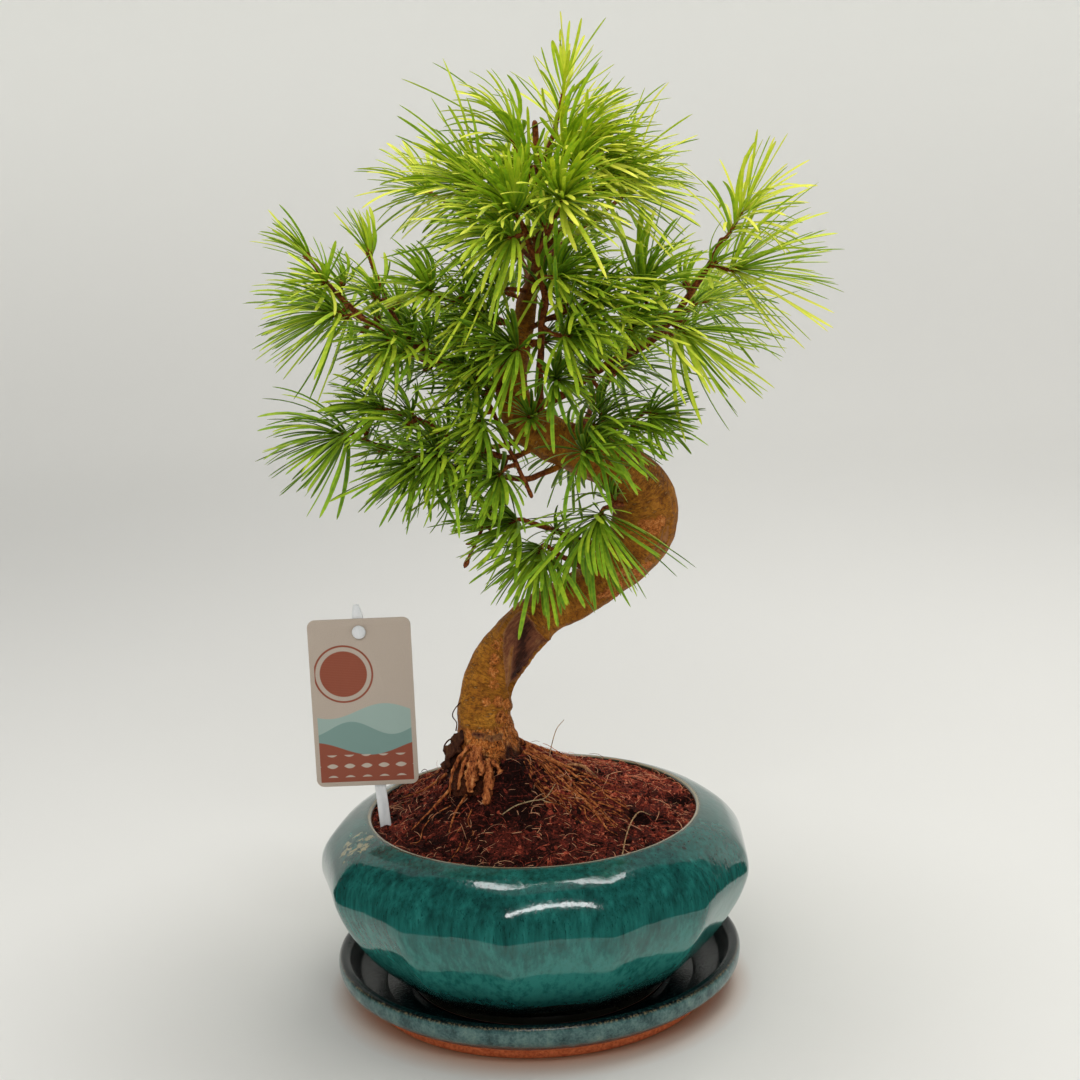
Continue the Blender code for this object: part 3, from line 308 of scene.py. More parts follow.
# the old wound's outline on the trunk's front, (x, z)
WOUND = (
    (-0.3, 144.6), (2.6, 140.5), (4.6, 136.8), (7.5, 133.0), (10.0, 128.0), (5.0, 116.0),
    (-2.0, 105.5), (-6.0, 108.5), (-7.6, 114.0), (-8.2, 120.0), (-8.6, 127.0), (-8.8, 132.0),
    (-8.4, 137.0), (-5.9, 140.8), (-2.9, 143.6),
)
# the wound's dark middle and the pale ridge beside it, (x, 0, z)
WOUND_CORE = ((0.5, 0, 139.0), (-1.6, 0, 134.0), (-1.8, 0, 128.5), (-3.3, 0, 123.0),
              (-5.0, 0, 117.0), (-4.4, 0, 110.0))
WOUND_RIDGE = ((-5.2, 0, 132.0), (-6.0, 0, 127.5), (-6.9, 0, 120.1), (-7.2, 0, 113.1))
# cracks in the bark
CRACKS = (
    ((51.7, 2.3, 171.9), (50.9, 2.9, 168.1), (47.9, 2.9, 163.8), (45.3, 3.6, 160.7)),
    ((53.6, 2.6, 177.0), (53.2, 3.0, 173.4), (51.9, 3.6, 168.0), (49.2, 3.4, 163.6)),
    ((-24.0, -2.0, 100.5), (-20.0, -9.0, 101.5), (-14.0, -11.0, 99.8), (-8.0, -7.5, 100.6)),
)
# crusted places: x, y, z, radius and strength
CRUSTS = (
    (-10.7, -2.6, 132.8, 2.6, 0.55), (-11.7, -4.3, 127.7, 2.8, 0.6), (-12.6, -5.4, 123.5, 2.6, 0.6),
    (-12.4, -6.2, 118.8, 2.6, 0.6), (-8.5, -2.4, 134.5, 2.0, 0.5), (-15.5, -7.7, 113.0, 2.0, 0.7),
    (-11.2, -6.7, 112.5, 2.4, 1.0), (-8.4, -3.7, 110.7, 2.4, 1.0), (-10.7, -6.7, 106.8, 2.8, 1.0),
    (-7.9, -4.2, 104.7, 3.0, 1.0), (46.9, 0.6, 173.2, 3.8, 1.0), (44.0, -0.1, 174.9, 2.4, 0.8),
    (50.0, 1.0, 175.4, 2.6, 0.9), (42.3, 4.6, 156.9, 3.0, 1.0), (36.8, 3.1, 156.7, 2.8, 1.0),
    (45.3, 4.9, 158.2, 2.4, 0.8), (32.0, 3.1, 155.8, 2.6, 0.8), (34.1, 3.3, 151.9, 2.4, 0.8),
    (30.4, 3.4, 149.4, 2.6, 1.0), (32.6, 6.2, 146.8, 2.0, 0.8), (27.4, 2.2, 148.3, 1.8, 0.7),
    (30.0, 21.0, 160.0, 4.0, 0.9), (-12.0, 11.0, 118.0, 4.0, 0.8), (14.0, 16.5, 146.0, 3.5, 0.8),
)
# knobs and dents: x, y, z, radius and height
KNOBS = (
    (51.0, 12.0, 188.0, 4.0, 0.7), (14.0, 4.0, 207.0, 4.0, 0.6), (30.0, 21.0, 160.0, 5.0, -0.8),
    (16.0, 4.0, 150.5, 3.0, 0.4), (-15.0, -8.0, 113.0, 5.0, 0.5),
)

# roots, broken stubs and loose fibres on the soil: kind, then x, y, z and radius along each
ROOTS = (
    ("stub", ((-19.0, -9.0, 98, 1.3), (-20.8, -13.0, 92.5, 2.1), (-21.8, -15.6, 87.5, 2.0),
              (-22.4, -17.4, 83.2, 1.1))),
    ("stub", ((-18.6, -11.5, 94.5, 0.7), (-17.9, -15.4, 91.6, 1.3), (-17.8, -17.4, 89.0, 0.8))),
    ("tube", ((-15.4, -11.5, 92.5, 1.2), (-15.4, -16.2, 87.6, 1.7), (-15.9, -19.2, 83, 1.8),
              (-16.6, -21.4, 79.8, 1.6))),
    ("stub", ((-13.8, -12.0, 92.6, 0.6), (-12.2, -15.6, 91.0, 0.9), (-11.6, -17.8, 89.0, 0.4))),
    ("bark", ((-21, -8.5, 98, 0.6), (-25.0, -10.5, 94.5, 0.7), (-28.0, -11.4, 89.5, 0.6),
              (-29.6, -12.0, 84.0, 0.45), (-30.2, -12.4, 79.5, 0.3))),
    ("bark", ((-20.5, -9.5, 96, 0.5), (-23.8, -12.4, 92.5, 0.7), (-25.8, -13.4, 87.5, 0.6),
              (-26.8, -14.0, 82.5, 0.4))),
    ("root", ((-16, 11, 2.0, 1.7), (-18, 17, 1.2, 1.5), (-17, 26, 0.8, 1.1), (-12, 38, 0.5, 0.6))),
    ("root", ((-24, 6, 1.4, 1.2), (-30, 12, 0.9, 1.0), (-38, 18, 0.6, 0.8), (-46, 26, 0.4, 0.4))),
    ("root", ((-8, 5, 1.6, 1.4), (-1, 9, 1.0, 1.1), (9, 14, 0.7, 0.8), (22, 17, 0.5, 0.4))),
    ("lump", ((-24.2, -3.5, 100.5, 1.5), (-26.4, -5.0, 98.2, 2.7), (-27.9, -5.8, 94.6, 2.9),
              (-28.6, -6.2, 91.0, 2.4), (-29.6, -6.4, 87.5, 1.6))),
    ("lump", ((-27.5, -8.0, 96.5, 0.8), (-29.8, -8.6, 94.0, 1.5), (-30.6, -8.8, 91.0, 1.3),
              (-31.4, -8.8, 88.0, 0.7))),
    ("wire", ((-25.6, -5, 98.0, 0.26), (-29.2, -5.4, 98.7, 0.28), (-31.4, -5.6, 96.6, 0.28),
              (-31.7, -5.6, 94.0, 0.26), (-30.4, -5.6, 91.0, 0.22))),
    ("wire", ((-24.6, -3, 112.2, 0.22), (-27.2, -4, 109.6, 0.2), (-28.1, -4, 107.0, 0.22),
              (-26.7, -4, 104.4, 0.2), (-27.1, -4, 101.5, 0.26))),
    ("root", ((-3, -4, 1.2, 0.7), (6.5, -4.5, 0.8, 0.55), (14.3, -11.5, 0.6, 0.42),
              (20.0, -19.0, 0.7, 0.4), (26.0, -31.0, 0.5, 0.25))),
    ("root", ((-3, -1, 1.2, 0.6), (7, -2.5, 0.8, 0.5), (15, -8.5, 0.6, 0.4), (22, -16.5, 0.5, 0.3),
              (29, -29.0, 0.5, 0.2))),
    ("root", ((-2, 1, 1.6, 0.6), (10, -0.5, 0.9, 0.5), (18, -5, 0.7, 0.4), (28, -11, 0.6, 0.3),
              (35, -16, 0.4, 0.2))),
    ("root", ((1, -6, 0.8, 0.4), (8, -8, 0.6, 0.36), (16, -13, 0.5, 0.32), (24, -20, 0.4, 0.26),
              (30, -27, 0.4, 0.2))),
    ("root", ((-2, 3, 1.6, 0.6), (10, 2, 0.8, 0.45), (20, -1, 0.6, 0.35), (33, -4, 0.5, 0.2))),
    ("root", ((-28, -8, 1.2, 0.6), (-36, -14, 0.8, 0.45), (-44, -22, 0.5, 0.25))),
    ("root", ((-24, -14, 1.0, 0.5), (-28, -22, 0.8, 0.4), (-30, -32, 0.5, 0.2))),
    ("root", ((-30, 4, 1.0, 0.6), (-40, 6, 0.8, 0.4), (-50, 11, 0.5, 0.2))),
    ("root", ((-14, 14, 1.0, 0.6), (-4, 24, 0.8, 0.4), (6, 38, 0.5, 0.2))),
    ("pale", ((-11.1, -28.1, 0.5, 0.18), (-6.4, -25.9, 1.0, 0.22), (-0.9, -23.0, 1.3, 0.22),
              (4.5, -18.0, 1.2, 0.2), (8.4, -12.6, 0.6, 0.13))),
    ("pale", ((2.5, -19.6, 1.2, 0.15), (5.5, -19.4, 0.8, 0.15), (10.0, -20.0, 0.4, 0.12))),
    ("hair", ((30.5, -47.3, 66.9, 0.22), (32.6, -35, 69.6, 0.24), (35.1, -30, 73.6, 0.24),
              (38.2, -25, 75, 0.22), (42.3, -16, 70.3, 0.18))),
    ("hair", ((6.8, 3.1, 85.4, 0.2), (7.0, 4.0, 89.1, 0.18), (9.5, 4.0, 97.5, 0.16),
              (12.6, 4.0, 101.4, 0.1))),
    ("leaf", ((13.0, 3.5, 0.9, 0.4), (18.6, 2.2, 1.1, 0.62), (24.0, 0.6, 0.8, 0.3))),
)
LAID_KINDS = ("root", "pale", "leaf")
BROKEN_KINDS = ("stub", "tube", "lump")
ROOT_RAGS = {"stub": (1.7, 1.3), "tube": (0.7, 1.1), "bark": (0.7, 1.6), "lump": (3.2, 2.6),
             "root": (0.2, 1.4)}
LAID_SHREDS = 34
# tufts in the crown's middle: spray, bough, place, way it faces, length and needles
CROWN_TUFTS = (
    ("shoot_top", "trunk", (8, -5, 303), (-0.3, -0.85, 0.4), 26, 26),
    ("shoot_top", "trunk", (13, -6, 297), (0.3, -0.9, 0.3), 28, 28),
    ("shoot_top", "trunk", (7, -8, 289), (-0.5, -0.8, 0.2), 28, 28),
    ("top_front", "trunk", (12, -9, 283), (0.1, -0.95, 0.2), 28, 28),
    ("top_front", "trunk", (4, -7, 277), (-0.6, -0.75, 0.1), 26, 26),
    ("upper_left", "trunk", (3, -4, 296), (-0.8, -0.4, 0.4), 28, 28),
    ("top_side", "trunk", (17, -5, 286), (0.7, -0.6, 0.3), 28, 28),
    ("front_left", "trunk", (-3, -9, 262), (-0.75, -0.6, 0.1), 32, 32),
    ("front_fan", "trunk", (10, -8, 262), (0.7, -0.65, 0.2), 30, 28),
    ("front_left", "trunk", (-5, -8, 250), (-0.85, -0.5, 0.0), 34, 34),
    ("trunk_face", "trunk", (-6, -11, 238), (-0.85, -0.5, 0.05), 32, 34),
    ("trunk_face", "trunk", (-8, -12, 227), (-0.8, -0.6, -0.1), 26, 28),
    ("main_low", "left_main", (-14, -14, 230), (-0.5, -0.8, -0.1), 26, 28),
    ("main_high", "left_main", (-36, -14, 241), (-0.5, -0.7, 0.2), 24, 26),
    ("mid_face", "mid_left", (-14, -16, 206), (-0.4, -0.85, -0.3), 24, 26),
    ("mid_left", "mid_left", (-36, -17, 218), (-0.6, -0.7, 0.0), 24, 26),
    ("left_upper", "left_upper", (-10, -13, 253), (-0.6, -0.7, 0.2), 30, 30),
    ("low_inner", "low_left", (-20, -15, 197), (-0.4, -0.8, -0.3), 22, 24),
    ("front_right", "trunk", (9, -7, 243), (0.75, -0.6, 0.1), 30, 30),
)
# buds: share of the way along the bare twig and radius, and one bud's shape
BUD_TWIG = ((0.22, 0.6), (0.42, 0.65), (0.6, 0.85), (0.8, 0.7), (1.0, 0.95))
BUD_SHAPE = ((0.0, 0.6), (0.9, 1.0), (1.9, 1.05), (2.9, 0.7), (3.7, 0.2))

# studio: (radius, height) in metres of the backdrop and of the dark room, and the camera
BACKDROP_SWEEP = ((0.001, 0.0), (0.5, 0.0), (1.1, 0.0), (1.3, 0.03), (1.48, 0.13), (1.6, 0.32),
                  (1.66, 0.6), (1.68, 1.2), (1.68, 1.7))
SCREEN_SWEEP = ((0.17, 0.002), (0.5, 0.004), (0.95, 0.01), (1.1, 0.2), (1.12, 0.62),
                (1.02, 0.95), (0.78, 1.2), (0.45, 1.34))
SCREEN_TURNS = (math.radians(-90 - 122), math.radians(-90 + 116))
CAMERA_PLACE = (6.4, -704.1, 323.3)
CAMERA_PITCH = math.radians(12.24)
CAMERA_ROLL = math.radians(-2.31)
CAMERA_LENS = 66.667


# Node trees

class Field:
    """A node's output, on which arithmetic adds Math or Vector Math nodes to its tree."""

    def __init__(self, socket):
        self.socket = socket
        self.tree = socket.id_data

    def joined_by(self, operation, first, second):
        """Two values joined as vectors where this field is one, and as numbers otherwise."""
        kind = "ShaderNodeVectorMath" if self.socket.type == "VECTOR" else "ShaderNodeMath"
        return make(self.tree, kind, (first, second), operation=operation)

    def __add__(self, other):
        return self.joined_by("ADD", self, other)

    def __sub__(self, other):
        return self.joined_by("SUBTRACT", self, other)

    def __rsub__(self, other):
        return self.joined_by("SUBTRACT", other, self)

    def __mul__(self, other):
        return self.joined_by("MULTIPLY", self, other)

    def __truediv__(self, other):
        return self.joined_by("DIVIDE", self, other)

    def __rtruediv__(self, other):
        return self.joined_by("DIVIDE", other, self)

    def __pow__(self, other):
        return self.joined_by("POWER", self, other)

    def __abs__(self):
        return self.math("ABSOLUTE")

    __radd__, __rmul__ = __add__, __mul__

    def math(self, operation, *others):
        """This number and others through another Math node."""
        return make(self.tree, "ShaderNodeMath", (self, *others), operation=operation)

    def clamped(self):
        """The same number held between 0 and 1 by its own Math node."""
        self.socket.node.use_clamp = True
        return self

    def times(self, factor):
        """A vector times a number."""
        return make(self.tree, "ShaderNodeVectorMath", {0: self, 3: factor}, operation="SCALE")

    def from_vectors(self, operation, other):
        """The number that two vectors give."""
        return make(self.tree, "ShaderNodeVectorMath", (self, other), "Value", operation=operation)

    def parts(self):
        """The three numbers of a vector."""
        item = make(self.tree, "ShaderNodeSeparateXYZ", (self,), None)
        return [Field(socket) for socket in item.outputs]


def make(tree, kind, values=(), output=0, **settings):
    """A new node's output, with its settings, and each input given a value or joined."""
    item = tree.nodes.new(kind)
    for setting, value in settings.items():
        setattr(item, setting, value)
    values = values if isinstance(values, dict) else dict(enumerate(values))
    for key, value in values.items():
        if isinstance(value, Field):
            tree.links.new(value.socket, item.inputs[key])
        else:
            item.inputs[key].default_value = value
    return item if output is None else Field(item.outputs[output])


def joined(x, y, z):
    """A vector from its three numbers."""
    return make(x.tree, "ShaderNodeCombineXYZ", (x, y, z))


def span(value, low, high, to_low=0.0, to_high=1.0, kind="LINEAR"):
    """A number carried from one range to another and held at its ends."""
    return make(value.tree, "ShaderNodeMapRange", (value, low, high, to_low, to_high),
                interpolation_type=kind)


def noise_at(place, scale, detail=3.0, roughness=0.55):
    """Soft noise from 0 to 1."""
    return make(place.tree, "ShaderNodeTexNoise", {
        "Vector": place, "Scale": scale, "Detail": detail, "Roughness": roughness})


def waver(value, reach):
    """Soft noise carried to a number from minus a reach to plus it."""
    return span(value, 0.3, 0.7, -reach, reach)


def ramp(value, *stops):
    """A colour from a number by way of stops of (place, colour)."""
    item = make(value.tree, "ShaderNodeValToRGB", (value,), None)
    bar = item.color_ramp
    bar.elements.remove(bar.elements[1])
    bar.elements[0].position = stops[0][0]
    bar.elements[0].color = (*stops[0][1], 1.0)
    for stop, colour in stops[1:]:
        bar.elements.new(stop).color = (*colour, 1.0)
    return Field(item.outputs[0])


def mix(factor, first, second):
    """Two colours mixed, where a plain colour is three numbers."""
    tree = (factor if isinstance(factor, Field) else first).tree
    sides = [(*side, 1.0) if isinstance(side, tuple) else side for side in (first, second)]
    return make(tree, "ShaderNodeMix", {0: factor, 6: sides[0], 7: sides[1]}, 2, data_type="RGBA")


def bump(height, strength, distance):
    """A normal from a height, with the height's reach in millimetres."""
    return make(height.tree, "ShaderNodeBump", {"Height": height, "Strength": strength,
                                                "Distance": distance * MM})


class Finish:
    """A Principled material, with plain values on its shader's own sockets."""

    def __init__(self, name, **values):
        self.material = bpy.data.materials.new(name)
        self.material.use_nodes = True
        self.tree = self.material.node_tree
        self.shader = self.tree.nodes["Principled BSDF"]
        for label, value in values.items():
            self.shader.inputs[label.replace("_", " ")].default_value = value

    def place(self, across=1.0, deep=1.0, up=1.0):
        """Object coordinates in millimetres, each axis times its own factor."""
        spot = make(self.tree, "ShaderNodeTexCoord", output="Object")
        return spot * (across / MM, deep / MM, up / MM)

    def kept(self, name, output="Fac"):
        """A number or vector kept on the mesh."""
        return make(self.tree, "ShaderNodeAttribute", output=output, attribute_name=name)

    def done(self, **fields):
        """The material, with fields joined to its shader's sockets."""
        for label, field in fields.items():
            self.tree.links.new(field.socket, self.shader.inputs[label.replace("_", " ")])
        return self.material


# Finishes

def leaf_finish():
    """Larch needles: deep green to gold by each needle's tint and painted shading, with painted light
    yellowing upturned faces and the edges.
    """
    leaf = Finish("larch needle leaf", Roughness=0.5, Specular_IOR_Level=0.22)
    along = leaf.kept("along")
    facing = make(leaf.tree, "ShaderNodeNewGeometry", output="Normal").parts()[2]
    # the kept tint holds painted light and shade from the needle's place in the crown, with its own
    # random tone
    value = leaf.kept("tint") + waver(noise_at(leaf.place(), 0.5, 1.0), 0.08)
    # painted light and shade by each face's tilt: faces turned up lighter and yellower, faces turned
    # down darker; the tips a little yellower
    value = value + span(facing, -0.7, 0.9, -0.16, 0.19) + span(along, 0.0, 1.0, -0.04, 0.1)
    colour = ramp(value, (0.0, (0.02, 0.084, 0.007)), (0.3, (0.105, 0.28, 0.016)),
                  (0.52, (0.3, 0.54, 0.026)), (0.75, (0.62, 0.75, 0.045)),
                  (1.0, (0.88, 0.88, 0.1)))
    # painted light: the needles' thin edges are mixed paler yellow
    colour = mix((1.0 - leaf.kept("rib")) * 0.3, colour, (0.56, 0.6, 0.02))
    colour = mix(span(along, 0.0, 0.12, 0.5, 0.0), colour, (0.34, 0.33, 0.03))
    return leaf.done(Base_Color=mix(span(along, 0.95, 1.0, 0.0, 0.35), colour, (0.42, 0.36, 0.05)))


def bark_finish():
    """Larch bark: ochre with raised pores round the stem, rust crusts, a dark wound, red twigs, and
    painted shade in its hollows, grooves and seams.
    """
    bark = Finish("larch bark", Specular_IOR_Level=0.2)
    spot, stem = bark.place(), bark.kept("stem", "Vector")
    height = spot.parts()[2]
    broad = noise_at(spot, 0.11)
    fine = noise_at(spot, 0.9, 4.0, 0.6)
    small = noise_at(spot, 1.9, 3.0, 0.6)
    grain = noise_at(stem * (1.0, 1.0, 0.22), 1.2)
    # tone from broad and fine noise; the fine noise also raises the bump, so its dark lows are partly
    # painted shade in the bark's hollows
    trunk = ramp(broad * 0.5 + fine * 0.5, (0.34, (0.19, 0.058, 0.004)),
                 (0.44, (0.32, 0.108, 0.008)), (0.55, (0.44, 0.168, 0.013)),
                 (0.66, (0.56, 0.245, 0.03)))
    # thin grooves round the stem, sunk in the bump and darkened with painted shade
    ring = noise_at(stem * (0.28, 0.28, 1.4), 0.75, 3.0, 0.6)
    wrinkle = span(abs(ring - 0.5), 0.004, 0.035, 0.6, 0.0)
    trunk = mix(wrinkle, trunk, (0.085, 0.026, 0.003))

    # raised pale pores, with painted shade round their edge
    dashes = make(bark.tree, "ShaderNodeTexVoronoi", {"Vector": stem * (0.36, 0.36, 1.2),
                                                      "Scale": 0.62}, "Distance")
    sparse = span(noise_at(spot, 0.16, 1.0), 0.42, 0.5)
    pore = span(dashes, 0.1, 0.2, 1.0, 0.0) * sparse
    trunk = mix(pore * 0.7, trunk, (0.5, 0.28, 0.1))
    shade = (span(dashes, 0.2, 0.3, 0.6, 0.0) * sparse - pore * 0.5).clamped()
    trunk = mix(shade, trunk, (0.09, 0.028, 0.004))

    # rusty crusts, their darkest and palest flakes painted shade and painted light, split near the
    # foot by seams darkened with painted shade
    rough = span(bark.kept("crust") + waver(fine, 0.3), 0.3, 0.6)
    flaked = small * 0.4 + noise_at(spot, 0.55, 4.0, 0.65) * 0.6
    flake = ramp(flaked, (0.37, (0.045, 0.012, 0.004)), (0.42, (0.38, 0.1, 0.017)),
                 (0.52, (0.65, 0.2, 0.038)), (0.64, (0.84, 0.39, 0.12)))
    rift = abs(noise_at(stem * (1.0, 1.0, 0.3), 0.4, 4.0, 0.65) - 0.5)
    seam = span(rift, 0.004, 0.02, 0.85, 0.0) * span(height, 108.0, 112.0, 1.0, 0.0)
    trunk = mix(rough, trunk, mix(seam, flake, (0.02, 0.006, 0.003)))

    # the old wound
    scar = bark.kept("scar")
    wound = ramp(scar + waver(grain, -0.2), (0.3, (0.37, 0.16, 0.058)),
                 (0.5, (0.25, 0.085, 0.038)), (0.72, (0.16, 0.05, 0.025)),
                 (0.95, (0.055, 0.018, 0.011)))
    trunk = mix(span(scar + waver(fine, 0.1), 0.12, 0.3), trunk, wound)

    twig = ramp(fine, (0.35, (0.09, 0.02, 0.005)), (0.52, (0.25, 0.058, 0.012)),
                (0.7, (0.42, 0.14, 0.032)))
    colour = mix(bark.kept("twig"), trunk, twig)
    earth = ramp(small, (0.4, (0.014, 0.004, 0.002)), (0.66, (0.13, 0.026, 0.014)))
    colour = mix(span(height + waver(broad, 4.5), 92.0, 95.5, 0.93, 0.0), colour, earth)
    relief = fine * 0.6 + pore * 0.7 + grain * 0.4 + rough * (small - seam) * 1.3 - wrinkle * 0.4
    return bark.done(Base_Color=colour, Roughness=span(fine, 0.3, 0.7, 0.5, 0.75),
                     Normal=bump(relief, 0.85, 0.8))


def root_finish():
    """Roots and stubs: bright rusty orange with dark cracks, ragged, each with its own tone."""
    root = Finish("bare root", Roughness=0.75, Specular_IOR_Level=0.2)
    fine = noise_at(root.place(1.0, 1.0, 0.3), 0.9, 5.0, 0.65)
    value = fine + waver(noise_at(root.place(), 0.3, 2.0), 0.06)
    rusty = ramp(value, (0.36, (0.06, 0.014, 0.005)), (0.45, (0.28, 0.07, 0.018)),
                 (0.56, (0.5, 0.155, 0.042)), (0.7, (0.72, 0.33, 0.12)))
    pale = ramp(fine, (0.35, (0.24, 0.17, 0.07)), (0.65, (0.56, 0.47, 0.28)))
    colour = mix(root.kept("pale"), rusty, pale)
    colour = mix(root.kept("dark"), colour, mix(0.88, colour, (0.022, 0.007, 0.005)))
    return root.done(Base_Color=colour, Normal=bump(fine, 0.8, 0.4))


def soil_finish(name, brightness, pale_share, grainy=False):
    """Coir mix: rust red at the back and right, darker at the front left, painted shade in the
    hollows, a few pale shreds.
    """
    soil = Finish(name, Roughness=0.8, Specular_IOR_Level=0.15)
    spot = soil.place()
    x, y, _ = spot.parts()
    slope = x * 0.0012 + y * 0.0034
    # painted shade in the hollows near the rim, and darkening in front of the trunk's foot
    for hole, reach, deep in SOIL_SHADES:
        apart = joined(x, y, 0.0).from_vectors("DISTANCE", (*hole, 0.0))
        slope = slope + span(apart, reach * 0.45, reach, -deep, 0.0)
    broad = span(noise_at(spot, 0.09), 0.3, 0.7, -0.27, 0.2)
    fine = span(noise_at(spot, 1.1, 3.0, 0.65), 0.25, 0.75, -0.38, 0.38)
    # the kept tint is each crumb's or fibre's own tone, and on the mound painted shade in the hollows
    tint = soil.kept("tint")
    value = slope + broad + (fine + span(tint, 0.0, 1.0, -0.44, 0.38)) + (0.49 + brightness)
    colour = ramp(value, (0.1, (0.014, 0.003, 0.002)), (0.35, (0.07, 0.011, 0.007)),
                  (0.58, (0.195, 0.029, 0.017)), (0.8, (0.42, 0.07, 0.036)),
                  (1.0, (0.72, 0.25, 0.13)))
    if pale_share:
        pale = span(tint, 1.0 - pale_share, 1.02 - pale_share, 0.0, 0.8)
        colour = mix(pale, colour, (0.66, 0.36, 0.2))
    if grainy:
        return soil.done(Base_Color=colour, Normal=bump(noise_at(spot, 1.6, 3.0, 0.7), 0.8, 0.6))
    return soil.done(Base_Color=colour)


def glaze_finish():
    """Teal glaze: darker and streaked above, clouded below with a painted floor reflection and painted
    shade underneath, cream at the rim's very edge.
    """
    glaze = Finish("teal pot glaze", Specular_IOR_Level=0.5, Coat_Weight=0.3, Coat_Roughness=0.04)
    spot = glaze.place()
    x, y, z = spot.parts()
    radius = (x * x + y * y).math("SQRT")
    runs = noise_at(glaze.place(1.0, 1.0, 0.12), 0.5, 4.0, 0.6)
    broad = noise_at(glaze.place(1.0, 1.0, 0.5), 0.05, 2.0)
    cloud = noise_at(glaze.place(1.0, 1.0, 0.35), 0.16)
    # paler low on the belly: painted reflection of the pale floor; a little darker high up
    value = runs * 0.5 + broad * 0.2 + cloud * 0.3 + span(z, 35.0, 56.0, 0.17, -0.04)
    colour = ramp(value, (0.34, (0.006, 0.045, 0.04)), (0.45, (0.009, 0.085, 0.074)),
                  (0.56, (0.014, 0.135, 0.117)), (0.7, (0.035, 0.23, 0.2)))
    streaks = span(noise_at(glaze.place(1.0, 1.0, 0.1), 1.3, 3.0, 0.7), 0.58, 0.68)
    streaks = streaks * span(z, 40.0, 52.0, 0.15, 0.7)
    specks = span(noise_at(spot, 1.5, 2.0, 0.7), 0.66, 0.72, 0.0, 0.6)
    # painted shade: the glaze darkens towards the underside, along a wavy line
    shade_height = z + waver(runs, 3.0)
    worn = radius + waver(runs, 0.25)
    thin = span(worn, 61.6, 62.4, 0.6, 0.0) * span(z, 66.0, 68.0)
    crest = span(worn, 61.0, 61.5, 0.7, 0.0) * span(z, 69.3, 69.6)
    # darker on the lip's inner face, just above the mix
    darker_lip_inside = span(radius, 60.0, 60.4, 0.9, 0.0) * span(z, 69.1, 69.5, 1.0, 0.0)
    splash = span(spot.from_vectors("DISTANCE", SPLASH_PLACE), 6.0, 15.0, 0.24, -0.1)
    splash = noise_at(glaze.place(1.0, 1.0, 0.6), 0.32, 4.0, 0.65) + splash
    pit = spot.from_vectors("DISTANCE", PIT_PLACE)
    bare = span(z, 5.35, 5.6, 1.0, 0.0)
    for share, tone in (
            (streaks, (0.001, 0.014, 0.014)),
            (specks, (0.001, 0.012, 0.012)),
            # painted shade darkening the underside
            (span(shade_height, 12.0, 32.0, 0.8, 0.0), (0.003, 0.045, 0.052)),
            (span(shade_height, 8.0, 12.5, 0.9, 0.0), (0.002, 0.02, 0.024)),
            (thin, (0.05, 0.045, 0.02)),
            (crest, (0.4, 0.32, 0.2)),
            (darker_lip_inside, (0.03, 0.025, 0.016)),
            (span(splash, 0.74, 0.8, 0.0, 0.75), (0.42, 0.36, 0.2)),
            (span(pit, 0.6, 1.0, 1.0, 0.0), (0.004, 0.008, 0.006)),
            (bare, (0.12, 0.03, 0.014))):
        colour = mix(share, colour, tone)
    peel = noise_at(spot, 0.22, 2.0)
    return glaze.done(Base_Color=colour,
                      Roughness=(span(runs, 0.3, 0.7, 0.06, 0.14) + bare * 0.6).clamped(),
                      Normal=bump(peel - streaks * 0.12, 0.2, 0.5),
                      Coat_Normal=bump(peel, 0.1, 0.5))


def saucer_finish():
    """Saucer: bare orange foot, clouded blue-grey wall, gold flecked crest, black inside."""
    saucer = Finish("dark saucer glaze")
    spot, way = saucer.place(), saucer.kept("profile")
    z = spot.parts()[2]
    specks = noise_at(spot, 1.1, 3.0, 0.65)
    clouds = noise_at(saucer.place(1.0, 1.0, 0.8), 0.16, 4.0, 0.6)
    runs = noise_at(saucer.place(1.0, 1.0, 0.2), 0.4)
    clay_noise = noise_at(spot, 0.8, 4.0, 0.6)
    wall = ramp(specks * 0.35 + clouds * 0.65, (0.36, (0.02, 0.048, 0.05)),
                (0.46, (0.048, 0.104, 0.102)), (0.56, (0.09, 0.165, 0.155)),
                (0.68, (0.15, 0.23, 0.2)))
    wall = mix(span(z + waver(runs, 1.2), 6.6, 9.2, 0.8, 0.0), wall, (0.008, 0.015, 0.02))
    inside = ramp(specks, (0.4, (0.001, 0.003, 0.004)), (0.6, (0.003, 0.015, 0.015)),
                  (0.74, (0.012, 0.05, 0.046)))
    crest = mix(span(specks, 0.5, 0.6, 0.0, 0.75), (0.012, 0.014, 0.012), (0.3, 0.2, 0.08))
    clay = ramp(clay_noise, (0.35, (0.52, 0.105, 0.034)), (0.65, (0.8, 0.22, 0.08)))
    bare = span(z + waver(runs, 0.4), 5.7, 6.1, 1.0, 0.0) * span(way, 0.5, 0.52, 1.0, 0.0)
    colour = mix(span(z, 15.8, 16.7), wall, crest)
    colour = mix(bare, mix(span(way, 0.53, 0.56), colour, inside), clay)
    return saucer.done(Base_Color=colour,
                       Roughness=(span(specks, 0.3, 0.7, 0.08, 0.24) + bare * 0.6).clamped(),
                       Specular_IOR_Level=span(way, 0.53, 0.56, 0.4, 0.2),
                       Normal=bump(specks + clay_noise * bare, 0.3, 0.3))


